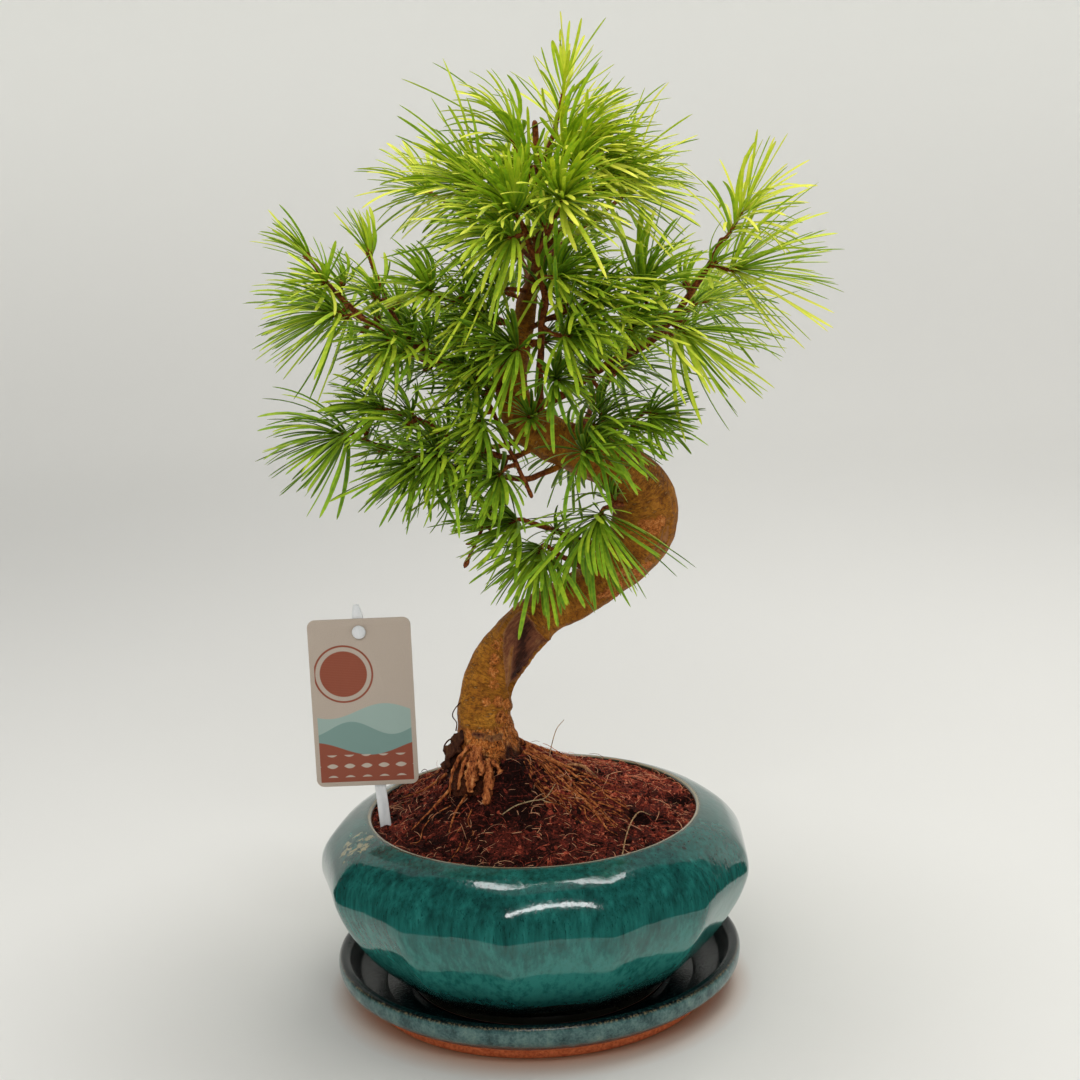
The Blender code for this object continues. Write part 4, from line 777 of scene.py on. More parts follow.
def card_finish():
    """Printed card: teal hills, a terracotta disc and rows of small leaves on a cream front."""
    card = Finish("printed plant card", Roughness=0.42, Specular_IOR_Level=0.45, Coat_Weight=0.15,
                  Coat_Roughness=0.25)
    spot = card.place() - CARD_CENTRE
    x, y, z = spot.parts()
    fibre = noise_at(spot, 3.0, 2.0)
    cream = ramp(fibre, (0.3, (0.46, 0.375, 0.31)), (0.7, CARD_CREAM))
    disc = joined(x, 0.0, z).from_vectors("DISTANCE", (-6.5, 0.0, 11.0))
    lines = span((z * 1.6).math("PINGPONG", 0.5), 0.36, 0.46, 0.0, 0.35)
    colour = mix(span(disc, 8.4, 8.6, 1.0, 0.0), cream, mix(lines, CARD_RED, (0.42, 0.14, 0.08)))
    colour = mix(span(abs(disc - 10.4), 0.25, 0.45, 1.0, 0.0), colour, CARD_RED)
    for lift, waves, start, tone in CARD_HILLS:
        crest = x.math("MULTIPLY_ADD", waves, start).math("SINE") * 2.6 + lift - z
        colour = mix(span(crest, -0.1, 0.1), colour, tone)
    cell_x = x.math("WRAP", 3.1, -3.1)
    cell_z = (z + 23.6).math("WRAP", 2.2, -2.2)
    leaf = abs(cell_z * 2.0) + cell_x * cell_x * 0.42
    band = span(z, -27.9, -27.8) * span(z, -19.4, -19.3, 1.0, 0.0)
    colour = mix(span(leaf, 1.6, 1.9, 1.0, 0.0) * band, colour, CARD_CREAM)
    frame_x, frame_z = (span(abs(off), size / 2 - 1.7, size / 2 - 1.6)
                        for off, size in zip((x, z), CARD_SIZE))
    plain = frame_x.math("MAXIMUM", frame_z).math("MAXIMUM", span(y, 0.1, 0.2))
    return card.done(Base_Color=mix(plain, colour, cream), Normal=bump(fibre, 0.12, 0.1))


def plastic_finish():
    """Frosted, faintly clouded plastic."""
    plastic = Finish("frosted plastic", Specular_IOR_Level=0.5, Subsurface_Weight=0.5,
                     Subsurface_Radius=(1.0, 1.0, 1.0), Subsurface_Scale=0.003)
    cloud = noise_at(plastic.place(1.0, 1.0, 0.3), 0.5)
    colour = ramp(cloud, (0.3, (0.66, 0.68, 0.7)), (0.7, (0.82, 0.83, 0.85)))
    return plastic.done(Base_Color=colour, Roughness=span(cloud, 0.3, 0.7, 0.28, 0.45),
                        Normal=bump(noise_at(plastic.place(), 2.0, 2.0), 0.08, 0.1))


def backdrop_finish():
    """Plain pale floor and backdrop, with painted shade darker at the back left, painted light paler
    up high, a painted shadow round the saucer and painted orange bounce light at its foot.
    """
    sheet = Finish("pale studio sheet", Roughness=1.0, Specular_IOR_Level=0.0)
    spot = sheet.place(MM, MM, MM)
    foot = spot.from_vectors("DISTANCE", (0.0, 0.0, 0.0))
    colour = (0.817, 0.81, 0.785)
    # painted shade: darker towards the back left, and a little at the back right
    for centre, reach, share in (((-0.5, 0.75, 0.0), 0.95, 0.34), ((0.55, 0.8, 0.0), 0.6, 0.12)):
        shade = span(spot.from_vectors("DISTANCE", centre), 0.0, reach, share, 0.0, "SMOOTHSTEP")
        colour = mix(shade, colour, (0.4, 0.4, 0.395))
    # painted light: paler up high
    high = span(spot.parts()[2], 0.05, 0.45, kind="SMOOTHSTEP")
    colour = mix(high, colour, (0.95, 0.95, 0.92))
    # painted shadow round the saucer
    near = span(foot, 0.06, 0.24, 0.3, 0.0, "SMOOTHSTEP")
    colour = mix(near, colour, (0.42, 0.41, 0.375))
    # painted orange bounce light from the saucer's clay foot
    return sheet.done(Base_Color=mix(span(foot, 0.062, 0.08, 0.85, 0.0), colour,
                                     (0.46, 0.25, 0.12)))


# Meshes and paths

def placed(name, data):
    """A new object in the scene, at the origin."""
    item = bpy.data.objects.new(name, data)
    bpy.context.scene.collection.objects.link(item)
    return item


def new_mesh(name, corners, faces=()):
    """A mesh from corners in millimetres."""
    mesh = bpy.data.meshes.new(name)
    mesh.from_pydata((np.asarray(corners, dtype=float) * MM).tolist(), [], faces)
    return mesh


def make_piece(name, corners, faces, finish):
    """A smooth mesh object from corners in millimetres."""
    mesh = new_mesh(name, corners, faces)
    mesh.materials.append(finish)
    mesh.shade_smooth()
    return placed(name, mesh)


def settle(item, slot, *nodes):
    """Seat a piece on the frame's body and hide the nodes that it stands for; the slot argument is not
    used.
    """
    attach(item, "root")
    if nodes:
        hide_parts(*nodes)


def keep_on(mesh, **named):
    """Keep a number or a vector for each corner of a mesh, under each name."""
    for name, values in named.items():
        values = np.asarray(values, dtype=np.float32)
        kind, field = ("FLOAT", "value") if values.ndim == 1 else ("FLOAT_VECTOR", "vector")
        mesh.attributes.new(name, kind, "POINT").data.foreach_set(field, values.ravel())


def held(value):
    """A number held between 0 and 1."""
    return min(max(value, 0.0), 1.0)


def smooth_step(value):
    """A number from 0 to 1 with soft ends."""
    value = held(value)
    return value * value * (3.0 - 2.0 * value)


def curve_rows(rows, gap):
    """Rows of place and radius on a smooth curve through the given ones, about a gap apart."""
    knots = np.array(rows, dtype=float)
    knots = np.vstack([2 * knots[0] - knots[1], knots, 2 * knots[-1] - knots[-2]])
    stretches = []
    for a, b, c, d in zip(knots, knots[1:], knots[2:], knots[3:]):
        steps = max(1, round(float(np.linalg.norm((c - b)[:3])) / gap))
        t = np.arange(steps)[:, None] / steps
        stretches.append(0.5 * (2 * b + (c - a) * t + (2 * a - 5 * b + 4 * c - d) * t ** 2
                                + (3 * b - a - 3 * c + d) * t ** 3))
    return np.vstack([*stretches, knots[-2]])


def lengths_along(rows):
    """Distance along a path at each of its rows."""
    steps = np.linalg.norm(np.diff(rows[:, :3], axis=0), axis=1)
    return np.concatenate([[0.0], np.cumsum(steps)])


def unit(vector):
    """A vector made one long."""
    vector = np.asarray(vector, dtype=float)
    return vector / max(float(np.linalg.norm(vector)), 1e-12)


def across(way):
    """A unit vector square to a direction."""
    guide = UP if abs(way[2]) < 0.9 else np.array((1.0, 0.0, 0.0))
    return unit(np.cross(way, guide))


def frames_along(places):
    """The way and two cross directions at each place of a path, without twist."""
    ways = np.gradient(places, axis=0)
    ways /= np.linalg.norm(ways, axis=1)[:, None]
    side = across(ways[0])
    sides = []
    for way in ways:
        side = unit(side - way * side.dot(way))
        sides.append(side)
    sides = np.array(sides)
    return ways, sides, np.cross(ways, sides)


def bar_faces(rings, columns, first=0):
    """Faces of a closed bar made of rings of corners."""
    faces = []
    for i in range(rings - 1):
        near, far = first + i * columns, first + (i + 1) * columns
        faces += [(near + k, near + (k + 1) % columns, far + (k + 1) % columns, far + k)
                  for k in range(columns)]
    faces.append(tuple(first + k for k in range(columns - 1, -1, -1)))
    faces.append(tuple(first + (rings - 1) * columns + k for k in range(columns)))
    return faces


def bar_rings(rows, columns, shape=None):
    """Corners of a bar, ring by ring, and the way outwards at each."""
    places, radii = rows[:, :3], rows[:, 3]
    _, sides, others = frames_along(places)
    turns = np.arange(columns) * math.tau / columns
    outward = (sides[:, None] * np.cos(turns)[None, :, None]
               + others[:, None] * np.sin(turns)[None, :, None])
    reach = np.repeat(radii[:, None], columns, axis=1)
    if shape:
        reach = reach * shape(turns[None, :], places[:, None, 2])
    return places[:, None] + outward * reach[..., None], outward


def rounded_end(rows):
    """Rows with two more that round off the far end."""
    way = unit(rows[-1, :3] - rows[-2, :3])
    radius = rows[-1, 3]
    ends = [[*(rows[-1, :3] + way * radius * out), radius * share]
            for out, share in ((0.55, 0.8), (0.9, 0.35))]
    return np.vstack([rows, ends])


class Bars:
    """Closed bars gathered into one piece, each with a number kept on its corners."""

    def __init__(self, columns):
        self.columns = columns
        self.corners = []
        self.faces = []
        self.tones = []
        self.count = 0

    def add(self, rows, tone=0.0, shape=None, rough=0.0, size=2.0):
        """Add a bar, roughened by soft noise of a size in millimetres."""
        rings, outward = bar_rings(rows, self.columns, shape)
        if rough:
            lift = [rough * noise.noise(Vector(corner) / size)
                    for corner in rings.reshape(-1, 3)]
            rings = rings + outward * np.array(lift).reshape(*rings.shape[:2], 1)
        self.faces += bar_faces(len(rows), self.columns, self.count)
        self.corners.append(rings.reshape(-1, 3))
        self.tones += [tone] * len(self.corners[-1])
        self.count += len(self.corners[-1])

    def piece(self, name, finish, label="twig"):
        """The gathered bars as one object."""
        item = make_piece(name, np.vstack(self.corners), self.faces, finish)
        keep_on(item.data, **{label: self.tones})
        return item


# Geometry trees

class Grower:
    """A geometry tree with named inputs, which ends in plain faces of one finish."""

    def __init__(self, name, **sizes):
        self.tree = bpy.data.node_groups.new(name, "GeometryNodeTree")
        sockets = self.tree.interface
        sockets.new_socket("Geometry", in_out="INPUT", socket_type="NodeSocketGeometry")
        for label, value in sizes.items():
            kind = "NodeSocketInt" if isinstance(value, int) else "NodeSocketFloat"
            sockets.new_socket(label.replace("_", " "), in_out="INPUT",
                               socket_type=kind).default_value = value
        sockets.new_socket("Finish", in_out="INPUT", socket_type="NodeSocketMaterial")
        sockets.new_socket("Geometry", in_out="OUTPUT", socket_type="NodeSocketGeometry")
        self.given = {socket.name: Field(socket)
                      for socket in self.tree.nodes.new("NodeGroupInput").outputs}

    def add(self, kind, values=(), output=0, **settings):
        """The output of a new geometry node."""
        return make(self.tree, "GeometryNode" + kind, values, output, **settings)

    def kept(self, name, kind="FLOAT"):
        """A field that reads what is kept under a name."""
        return self.add("InputNamedAttribute", {"Name": name}, data_type=kind)

    def keep(self, geometry, name, value, kind="FLOAT"):
        """Geometry with a value kept on its points."""
        return self.add("StoreNamedAttribute", {"Geometry": geometry, "Name": name,
                                                "Value": value}, data_type=kind)

    def drawn(self, low, high, seed):
        """A random number or vector for each point, from a fixed seed."""
        vector = isinstance(low, tuple)
        first = 0 if vector else 2
        return make(self.tree, "FunctionNodeRandomValue",
                    {first: low, first + 1: high, "Seed": seed}, 0 if vector else 1,
                    data_type="FLOAT_VECTOR" if vector else "FLOAT")

    def moved(self, geometry, place):
        """Geometry with its points at their new places."""
        return self.add("SetPosition", {0: geometry, "Position": place})

    def creased(self, mesh, degrees):
        """A smooth mesh with sharp edges where its faces turn by more than an angle."""
        sharp = self.add("InputMeshEdgeAngle").math("DEGREES").math("GREATER_THAN", degrees)
        smooth = self.add("SetShadeSmooth", (mesh,))
        return self.add("SetShadeSmooth", (smooth, sharp, False), domain="EDGE")

    def scattered(self):
        """Points over the upward faces of the source, and the faces' way at each."""
        upward = self.add("InputNormal").parts()[2].math("GREATER_THAN", 0.25)
        spread = self.add("DistributePointsOnFaces", {
            0: self.given["Geometry"], "Selection": upward, "Density": self.given["Density"],
            "Seed": self.given["Seed"]}, None)
        return Field(spread.outputs[0]), Field(spread.outputs[1])

    def done(self, geometry):
        """The tree, ended in Realize Instances and Set Material."""
        real = self.add("RealizeInstances", (geometry,))
        dressed = self.add("SetMaterial", {0: real, "Material": self.given["Finish"]})
        make(self.tree, "NodeGroupOutput", (dressed,), None)
        return self.tree


def strand_tree():
    """From every point a tapered strap grows along an arc, from its aim round to its bend."""
    strap = Grower("strands", Steps=8, Sides=6, Thickness=0.2, Fold=0.3, Crease=60.0)
    given = strap.given
    roots = strap.keep(given["Geometry"], "root", strap.add("InputPosition"), "FLOAT_VECTOR")
    line = strap.add("CurvePrimitiveLine", {"End": (0.0, 0.0, MM)})
    line = strap.add("ResampleCurve", {0: line, "Count": given["Steps"]})
    line = strap.keep(line, "along", 1.0 - (1.0 - strap.add("SplineParameter")) ** 1.6)
    lines = strap.add("InstanceOnPoints", {0: roots, "Instance": line})
    lines = strap.add("RealizeInstances", (lines,))
    t = strap.kept("along")
    square = t * t
    half = strap.kept("length") * 0.5
    root, aim, bend = (strap.kept(name, "FLOAT_VECTOR") for name in ("root", "aim", "bend"))
    place = root + aim.times(half * (t * 2.0 - square)) + bend.times(half * square)
    lines = strap.add("SetCurveNormal", (strap.moved(lines, place),), mode="Z_UP")
    lines = strap.add("SetCurveTilt", {0: lines, "Tilt": strap.kept("roll")})
    taper = make(strap.tree, "ShaderNodeFloatCurve", {"Value": t}, None)
    points = taper.mapping.curves[0].points
    points[0].location, points[1].location = NEEDLE_TAPER[0], NEEDLE_TAPER[-1]
    for spot in NEEDLE_TAPER[1:-1]:
        points.new(*spot)
    taper.mapping.update()
    mesh = strap.add("CurveToMesh", {
        "Curve": lines, "Profile Curve": strap_profile(strap),
        "Scale": Field(taper.outputs[0]) * strap.kept("breadth"), "Fill Caps": True})
    return strap.done(strap.creased(mesh, given["Crease"]))


def strap_profile(strap):
    """A flattened ring folded up at both sides, with the midrib marked."""
    given = strap.given
    ring = strap.add("CurvePrimitiveCircle", {"Resolution": given["Sides"]})
    turn = strap.add("InputIndex") * math.tau / given["Sides"]
    x, y = turn.math("COSINE"), turn.math("SINE")
    place = joined(x, y * given["Thickness"] - abs(x) * given["Fold"], 0.0)
    return strap.keep(strap.moved(ring, place), "rib", (1.0 - abs(x)).clamped())


def turned_tree():
    """A turned shape from its profile's points, its wall pressed to facets with soft ridges."""
    ware = Grower("turned ware", Columns=96, Facets=13, Press=0.0, Ridge_Turn=0.0,
                  Press_Start=0.0, Press_Span=1.0, Fade=1.0, Softness=0.02, Unevenness=0.0)
    given = ware.given
    points = given["Geometry"]
    rows = ware.add("AttributeDomainSize", (points,), "Point Count")
    grid = ware.add("MeshGrid", {"Vertices X": given["Columns"] + 1.0, "Vertices Y": rows})
    index = ware.add("InputIndex")
    column = ((index + 0.5) / rows).math("FLOOR")
    row = index - column * rows
    grid = ware.keep(grid, "profile", row / (rows - 1.0))
    profile = ware.add("SampleIndex", {0: points, "Value": ware.add("InputPosition"),
                                       "Index": row}, data_type="FLOAT_VECTOR")
    outer = ware.add("SampleIndex", {0: points, "Value": ware.kept("outer"), "Index": row})
    radius, _, height = profile.parts()

    # each facet is a chord between two ridges, with the corner at the ridge softened
    turn = (column / given["Columns"]).math("MULTIPLY_ADD", math.tau, given["Ridge Turn"])
    half = math.pi / given["Facets"]
    off = (turn - given["Ridge Turn"]).math("PINGPONG", half)
    off = (off * off + given["Softness"] * given["Softness"]).math("SQRT")
    flat = half.math("COSINE") / (half - off).math("COSINE")
    share = ((height - given["Press Start"]) / given["Press Span"]).clamped()
    depth = (share * math.pi).math("SINE") ** given["Fade"] * outer
    reach = radius * (1.0 - depth * given["Press"] * (1.0 - flat))
    place = joined(reach * turn.math("COSINE"), reach * turn.math("SINE"), height)
    swell = make(ware.tree, "ShaderNodeTexNoise", {"Vector": place, "Scale": 32.0, "Detail": 1.0})
    outward = make(ware.tree, "ShaderNodeVectorMath", (place,), operation="NORMALIZE")
    place = place - outward.times(swell * depth * given["Unevenness"])
    merged = ware.add("MergeByDistance", {0: ware.moved(grid, place), "Distance": MM * 0.01})
    return ware.done(ware.creased(merged, 42.0))


def crumb_tree():
    """Lumpy grains scattered over the upper side of a mesh."""
    grain = Grower("scattered crumbs", Density=1.0, Smallest=0.0004, Largest=0.002, Seed=1)
    points, _ = grain.scattered()
    points = grain.keep(points, "tint", grain.drawn(0.0, 1.0, 11))
    ball = grain.add("MeshIcoSphere", {"Radius": 1.0, "Subdivisions": 1})
    ball = grain.moved(ball, grain.add("InputPosition").times(grain.drawn(0.6, 1.15, 5)))
    size = span(grain.drawn(0.0, 1.0, 12) ** 3.0, 0.0, 1.0, grain.given["Smallest"],
                grain.given["Largest"])
    turn = grain.drawn((-math.pi,) * 3, (math.pi,) * 3, 14)
    return grain.done(grain.add("InstanceOnPoints", {
        0: points, "Instance": ball,
        "Rotation": make(grain.tree, "FunctionNodeEulerToRotation", (turn,)),
        "Scale": grain.drawn((0.5, 0.5, 0.45), (1.4, 1.4, 1.0), 13).times(size)}))


def fibre_tree(strands):
    """Curled fibres lying every way over the upper side of a mesh."""
    fibre = Grower("scattered fibres", Density=1.0, Shortest=0.003, Longest=0.01, Lift=0.25,
                   Breadth=0.0002, Seed=1)
    given = fibre.given
    points, normal = fibre.scattered()
    points = fibre.keep(points, "normal_way", normal, "FLOAT_VECTOR")
    normal = fibre.kept("normal_way", "FLOAT_VECTOR")
    points = fibre.keep(points, "heading", fibre.drawn(0.0, math.tau, 21))
    heading = fibre.kept("heading")
    curl = heading + fibre.drawn(-1.5, 1.5, 22)
    lift = fibre.drawn(0.2, 1.0, 23) * given["Lift"]
    for name, turn, rise in (("aim", heading, lift), ("bend", curl, lift * -1.15)):
        flat = joined(turn.math("COSINE"), turn.math("SINE"), 0.0)
        flat = flat - normal.times(flat.from_vectors("DOT_PRODUCT", normal))
        points = fibre.keep(points, name, flat + normal.times(rise), "FLOAT_VECTOR")
    share = fibre.drawn(0.0, 1.0, 24) ** 2.0
    for name, value in (("length", span(share, 0.0, 1.0, given["Shortest"], given["Longest"])),
                        ("breadth", fibre.drawn(0.5, 1.5, 25) * given["Breadth"]),
                        ("roll", fibre.drawn(-1.5, 1.5, 26)), ("tint", fibre.drawn(0.0, 1.0, 27))):
        points = fibre.keep(points, name, value)
    return fibre.done(fibre.add("Group", {
        "Geometry": points, "Steps": 6, "Sides": 3, "Thickness": 0.9, "Fold": 0.0,
        "Finish": given["Finish"]}, node_tree=strands))


def mesh_of(item, **settings):
    """The plain mesh that an object's modifiers or curves make."""
    graph = bpy.context.evaluated_depsgraph_get()
    return bpy.data.meshes.new_from_object(item.evaluated_get(graph), depsgraph=graph, **settings)


def grown(name, source, tree, **values):
    """The plain mesh piece that a geometry tree makes from a source object."""
    modifier = source.modifiers.new("grown", "NODES")
    modifier.node_group = tree
    for socket in tree.interface.items_tree:
        label = socket.name.replace(" ", "_")
        if socket.in_out == "INPUT" and label in values:
            modifier[socket.identifier] = values[label]
    mesh = mesh_of(source, preserve_all_data_layers=True)
    source.modifiers.clear()
    mesh.name = name
    for spare in ("root", "aim", "bend", "length", "breadth", "roll", "heading", "normal_way"):
        if spare in mesh.attributes:
            mesh.attributes.remove(mesh.attributes[spare])
    return placed(name, mesh)


def drop(item):
    """Remove a source object."""
    bpy.data.objects.remove(item, do_unlink=True)


# Pot and saucer

def profile_source(name, rows, outer_count):
    """A source of profile points, (radius, height), with the outer wall's marked."""
    mesh = new_mesh(name, [(radius, 0.0, height) for radius, height in rows])
    keep_on(mesh, outer=[1.0 if k < outer_count else 0.0 for k in range(len(rows))])
    return placed(name, mesh)


def smooth_profile(rows, gap):
    """A profile drawn finer on a smooth curve."""
    spread = curve_rows([(radius, 0.0, height, 0.0) for radius, height in rows], gap)
    return [(row[0], row[2]) for row in spread]


def build_pot(tree):
    """The hand-faceted bowl with its incurved rim."""
    wall = smooth_profile(POT_WALL, 1.1)
    lip = smooth_profile((POT_WALL[-1], *POT_LIP[:2]), 0.6)[1:]
    inside = [POT_LIP[-1], *POT_INSIDE, *POT_FLOOR]
    rows = [*wall, *lip, *inside, wall[0]]
    source = profile_source("pot profile", rows, len(wall))
    pot = grown("pot_bowl", source, tree, Columns=POT_COLUMNS, Facets=POT_FACETS, Press=PRESS,
                Ridge_Turn=RIDGE_TURN, Press_Start=PRESS_START * MM, Press_Span=PRESS_SPAN * MM,
                Fade=PRESS_FADE, Softness=RIDGE_SOFTNESS, Unevenness=0.5 * MM,
                Finish=glaze_finish())
    drop(source)
    settle(pot, "teal glaze", "pot")


def build_saucer(tree):
    """The saucer under the bowl."""
    bends = smooth_profile(SAUCER_PROFILE[3:12], 0.8)
    rows = [*SAUCER_PROFILE[:3], *bends, *SAUCER_PROFILE[12:]]
    source = profile_source("saucer profile", rows, 0)
    saucer = grown("saucer_dish", source, tree, Columns=SAUCER_COLUMNS, Ridge_Turn=RIDGE_TURN,
                   Press_Span=MM, Finish=saucer_finish())
    drop(source)
    settle(saucer, "saucer glaze", "saucer")


# Soil

def soil_height(share, turn):
    """Height of the mound, by the share of the way from the trunk to the bowl's wall."""
    swell = sum(size * math.sin(waves * turn + start) for waves, size, start in SOIL_SWELLS)
    rise = SOIL_RISE * (1 - SOIL_DIP * math.cos(turn - SOIL_DIP_TURN))
    edge = SOIL_EDGE + SOIL_BACK * math.sin(turn)
    return edge + rise * (1 - share) ** SOIL_CURVE + swell * math.sin(math.pi * share)


def soil_lump(x, y, share):
    """Small unevenness of the mix: clods, pits, the hollows near the rim and raised places."""
    spot = Vector((x, y, 0.0))
    lump = 1.3 * noise.noise(spot / 9.0) + 0.9 * noise.noise(spot / 3.6)
    lump += 0.7 * noise.noise(spot / 1.5)
    lump *= min(1.0, (1.0 - share) * 14.0)
    return lump - hollow_at(x, y) * min(1.0, (1.0 - share) * 26.0)


def hollow_at(x, y):
    """Depth of the hollows at a place, below zero where the mix is heaped."""
    depth = 0.0
    for hx, hy, reach, deep in SOIL_HOLLOWS:
        depth += deep * smooth_step(1.15 - math.hypot(x - hx, y - hy) / reach)
    return depth


def ground(x, y):
    """Height of the mix at a place."""
    out = x - TREE_X
    room = SOIL_R ** 2 - TREE_X ** 2
    half = out * TREE_X
    share = (half + math.sqrt(half * half + room * (out * out + y * y))) / room
    turn = math.atan2(y, out + share * TREE_X)
    return soil_height(share, turn) + soil_lump(x, y, share)


def soil_surface():
    """Corners and faces of the filling, up the bowl's inside and then over the mound."""
    turns = [math.tau * k / SOIL_COLUMNS for k in range(SOIL_COLUMNS)]
    corners = [(0.0, 0.0, SOIL_FLOOR)]
    rings = [[0]]
    inner = [(radius - 0.42, height + 0.1) for radius, height in reversed(POT_INSIDE)]
    for radius, height in [*inner, (SOIL_R, 65.2)]:
        rings.append(list(range(len(corners), len(corners) + SOIL_COLUMNS)))
        corners += [(radius * math.cos(turn), radius * math.sin(turn), height) for turn in turns]
    for ring in range(SOIL_RINGS):
        share = 1.0 - ring / SOIL_RINGS
        rings.append(list(range(len(corners), len(corners) + SOIL_COLUMNS)))
        for turn in turns:
            x = TREE_X * (1 - share) + share * SOIL_R * math.cos(turn)
            y = share * SOIL_R * math.sin(turn)
            corners.append((x, y, soil_height(share, turn) + soil_lump(x, y, share)))
    rings.append([len(corners)])
    corners.append((TREE_X, 0.0, soil_height(0.0, 0.0)))
    faces = []
    for low, high in zip(rings, rings[1:]):
        for k in range(SOIL_COLUMNS):
            nxt = (k + 1) % SOIL_COLUMNS
            face = (low[k % len(low)], low[nxt % len(low)], high[nxt % len(high)],
                    high[k % len(high)])
            faces.append(tuple(dict.fromkeys(face)))
    return corners, faces


def build_soil(crumbs, fibres):
    """The filling and its mound, with crumbs and coir fibres on it."""
    corners, faces = soil_surface()
    mound = make_piece("soil_mound", corners, faces,
                       soil_finish("coir mix", -0.04, 0.0, grainy=True))
    # painted shade: the mound's kept tint is darker in the hollows
    keep_on(mound.data, tint=[0.5 - 0.09 * max(0.0, hollow_at(x, y)) for x, y, _ in corners])
    grains = grown("soil_crumbs", mound, crumbs, Density=CRUMB_DENSITY,
                   Smallest=CRUMB_SIZE[0] * MM, Largest=CRUMB_SIZE[1] * MM, Seed=31,
                   Finish=soil_finish("coir crumbs", 0.0, 0.0))
    threads = grown("soil_fibres", mound, fibres, Density=FIBRE_DENSITY,
                    Shortest=FIBRE_LENGTH[0] * MM, Longest=FIBRE_LENGTH[1] * MM, Lift=FIBRE_LIFT,
                    Breadth=FIBRE_BREADTH * MM, Seed=32,
                    Finish=soil_finish("coir fibres", 0.3, 0.2))
    settle(mound, "potting mix", "soil")
    settle(grains, "potting mix")
    settle(threads, "potting mix")


# Label

def plate(name, outlines, thick, bevel, place, lean, finish):
    """An upright plate from outlines in the XZ plane, its front at place, with round edges."""
    curve = bpy.data.curves.new(name, "CURVE")
    curve.dimensions = "2D"
    curve.fill_mode = "BOTH"
    curve.extrude = (thick / 2 - bevel) * MM
    curve.bevel_depth = bevel * MM
    curve.bevel_resolution = 2
    curve.offset = -bevel * MM
    for outline in outlines:
        spline = curve.splines.new("POLY")
        spline.points.add(len(outline) - 1)
        for point, (x, z) in zip(spline.points, outline):
            point.co = (x * MM, z * MM, 0.0, 1.0)
        spline.use_cyclic_u = True
    source = placed(name, curve)
    mesh = mesh_of(source)
    drop(source)
    middle = Vector((place[0], place[1] + thick / 2, place[2])) * MM
    mesh.transform(Matrix.Translation(middle) @ Matrix.Rotation(lean, 4, "Y")
                   @ Matrix.Rotation(math.pi / 2, 4, "X"))
    mended = bmesh.new()
    mended.from_mesh(mesh)
    bmesh.ops.remove_doubles(mended, verts=mended.verts, dist=MM * 0.004)
    bmesh.ops.recalc_face_normals(mended, faces=mended.faces)
    mended.to_mesh(mesh)
    mended.free()
    mesh.name = name
    mesh.materials.clear()
    mesh.materials.append(finish)
    mesh.shade_smooth()
    mesh.set_sharp_from_angle(angle=math.radians(40))
    return placed(name, mesh)


def card_outline():
    """The card's outline with round corners, about its middle."""
    half_x, half_z = CARD_SIZE[0] / 2 - CARD_CORNER, CARD_SIZE[1] / 2 - CARD_CORNER
    outline = []
    for quarter, (sx, sz) in enumerate(((1, 1), (-1, 1), (-1, -1), (1, -1))):
        for step in range(9):
            turn = math.pi / 2 * (quarter + step / 8)
            outline.append((sx * half_x + CARD_CORNER * math.cos(turn),
                            sz * half_z + CARD_CORNER * math.sin(turn)))
    return outline


def build_label():
    """The printed card on its frosted stake."""
    hole = [(CARD_HOLE_R * math.cos(turn), HOLE_HEIGHT - CARD_CENTRE[2] + CARD_HOLE_R
             * math.sin(turn)) for turn in np.linspace(0, -math.tau, 32, endpoint=False)]
    card = plate("plant_card", [card_outline(), hole], CARD_THICK, 0.14, CARD_CENTRE, 0.0,
                 card_finish())
    settle(card, "printed card", "label_card")
    top, tip = STAKE_TOP - HOLE_HEIGHT, STAKE_TIP - HOLE_HEIGHT
    blade = [(STAKE_HALF, tip + 9), (STAKE_HALF, top - 4), (STAKE_HALF * 0.45, top),
             (-STAKE_HALF * 0.45, top), (-STAKE_HALF, top - 4), (-STAKE_HALF, tip + 9), (0, tip)]
    plastic = plastic_finish()
    stake = plate("card_stake", [blade], STAKE_THICK, 0.2,
                  (CARD_CENTRE[0], STAKE_FRONT, HOLE_HEIGHT), STAKE_LEAN, plastic)
    peg = Bars(28)
    rows = [(CARD_CENTRE[0], y, HOLE_HEIGHT, radius) for y, radius in
            ((STAKE_FRONT + 0.4, 1.7), *PEG_PROFILE)]
    peg.add(np.array(rows, dtype=float))
    plug = peg.piece("card_peg", plastic)
    plug.data.set_sharp_from_angle(angle=math.radians(50))
    settle(stake, "frosted plastic", "label_stake")
    settle(plug, "frosted plastic")


# Wood

def root_shape(turns, heights):
    """The trunk's cross-section: roots that spread at the foot, and shallow swellings above."""
    spread = np.clip((ROOT_TOP - heights) / ROOT_SPAN, 0, 1)
    roots = ROOT_REACH * spread * (0.5 + 0.5 * np.cos(ROOT_COUNT * turns + 0.7)) ** 2
    swell = 0.035 * np.sin(2 * turns + heights / 11) + 0.025 * np.sin(3 * turns - heights / 7)
    return 1 - 0.16 * spread + roots + swell * (1 - 0.5 * spread)


def inside_depth(x, z, outline):
    """How far a place lies inside an outline, below zero where it lies outside."""
    inside, near = False, 1e9
    for (ax, az), (bx, bz) in zip(outline, (*outline[1:], outline[0])):
        if (az > z) != (bz > z) and x < ax + (z - az) / (bz - az) * (bx - ax):
            inside = not inside
        share = ((x - ax) * (bx - ax) + (z - az) * (bz - az)) / ((bx - ax) ** 2 + (bz - az) ** 2)
        share = held(share)
        near = min(near, math.hypot(x - ax - share * (bx - ax), z - az - share * (bz - az)))
    return near if inside else -near


def apart_from(spot, route):
    """Distance of a spot from a route of straight lines."""
    nearest = 1e9
    for start, end in zip(route, route[1:]):
        line = Vector(end) - Vector(start)
        share = (Vector(spot) - Vector(start)).dot(line) / line.length_squared
        nearest = min(nearest, (Vector(start) + line * held(share) - Vector(spot)).length)
    return nearest


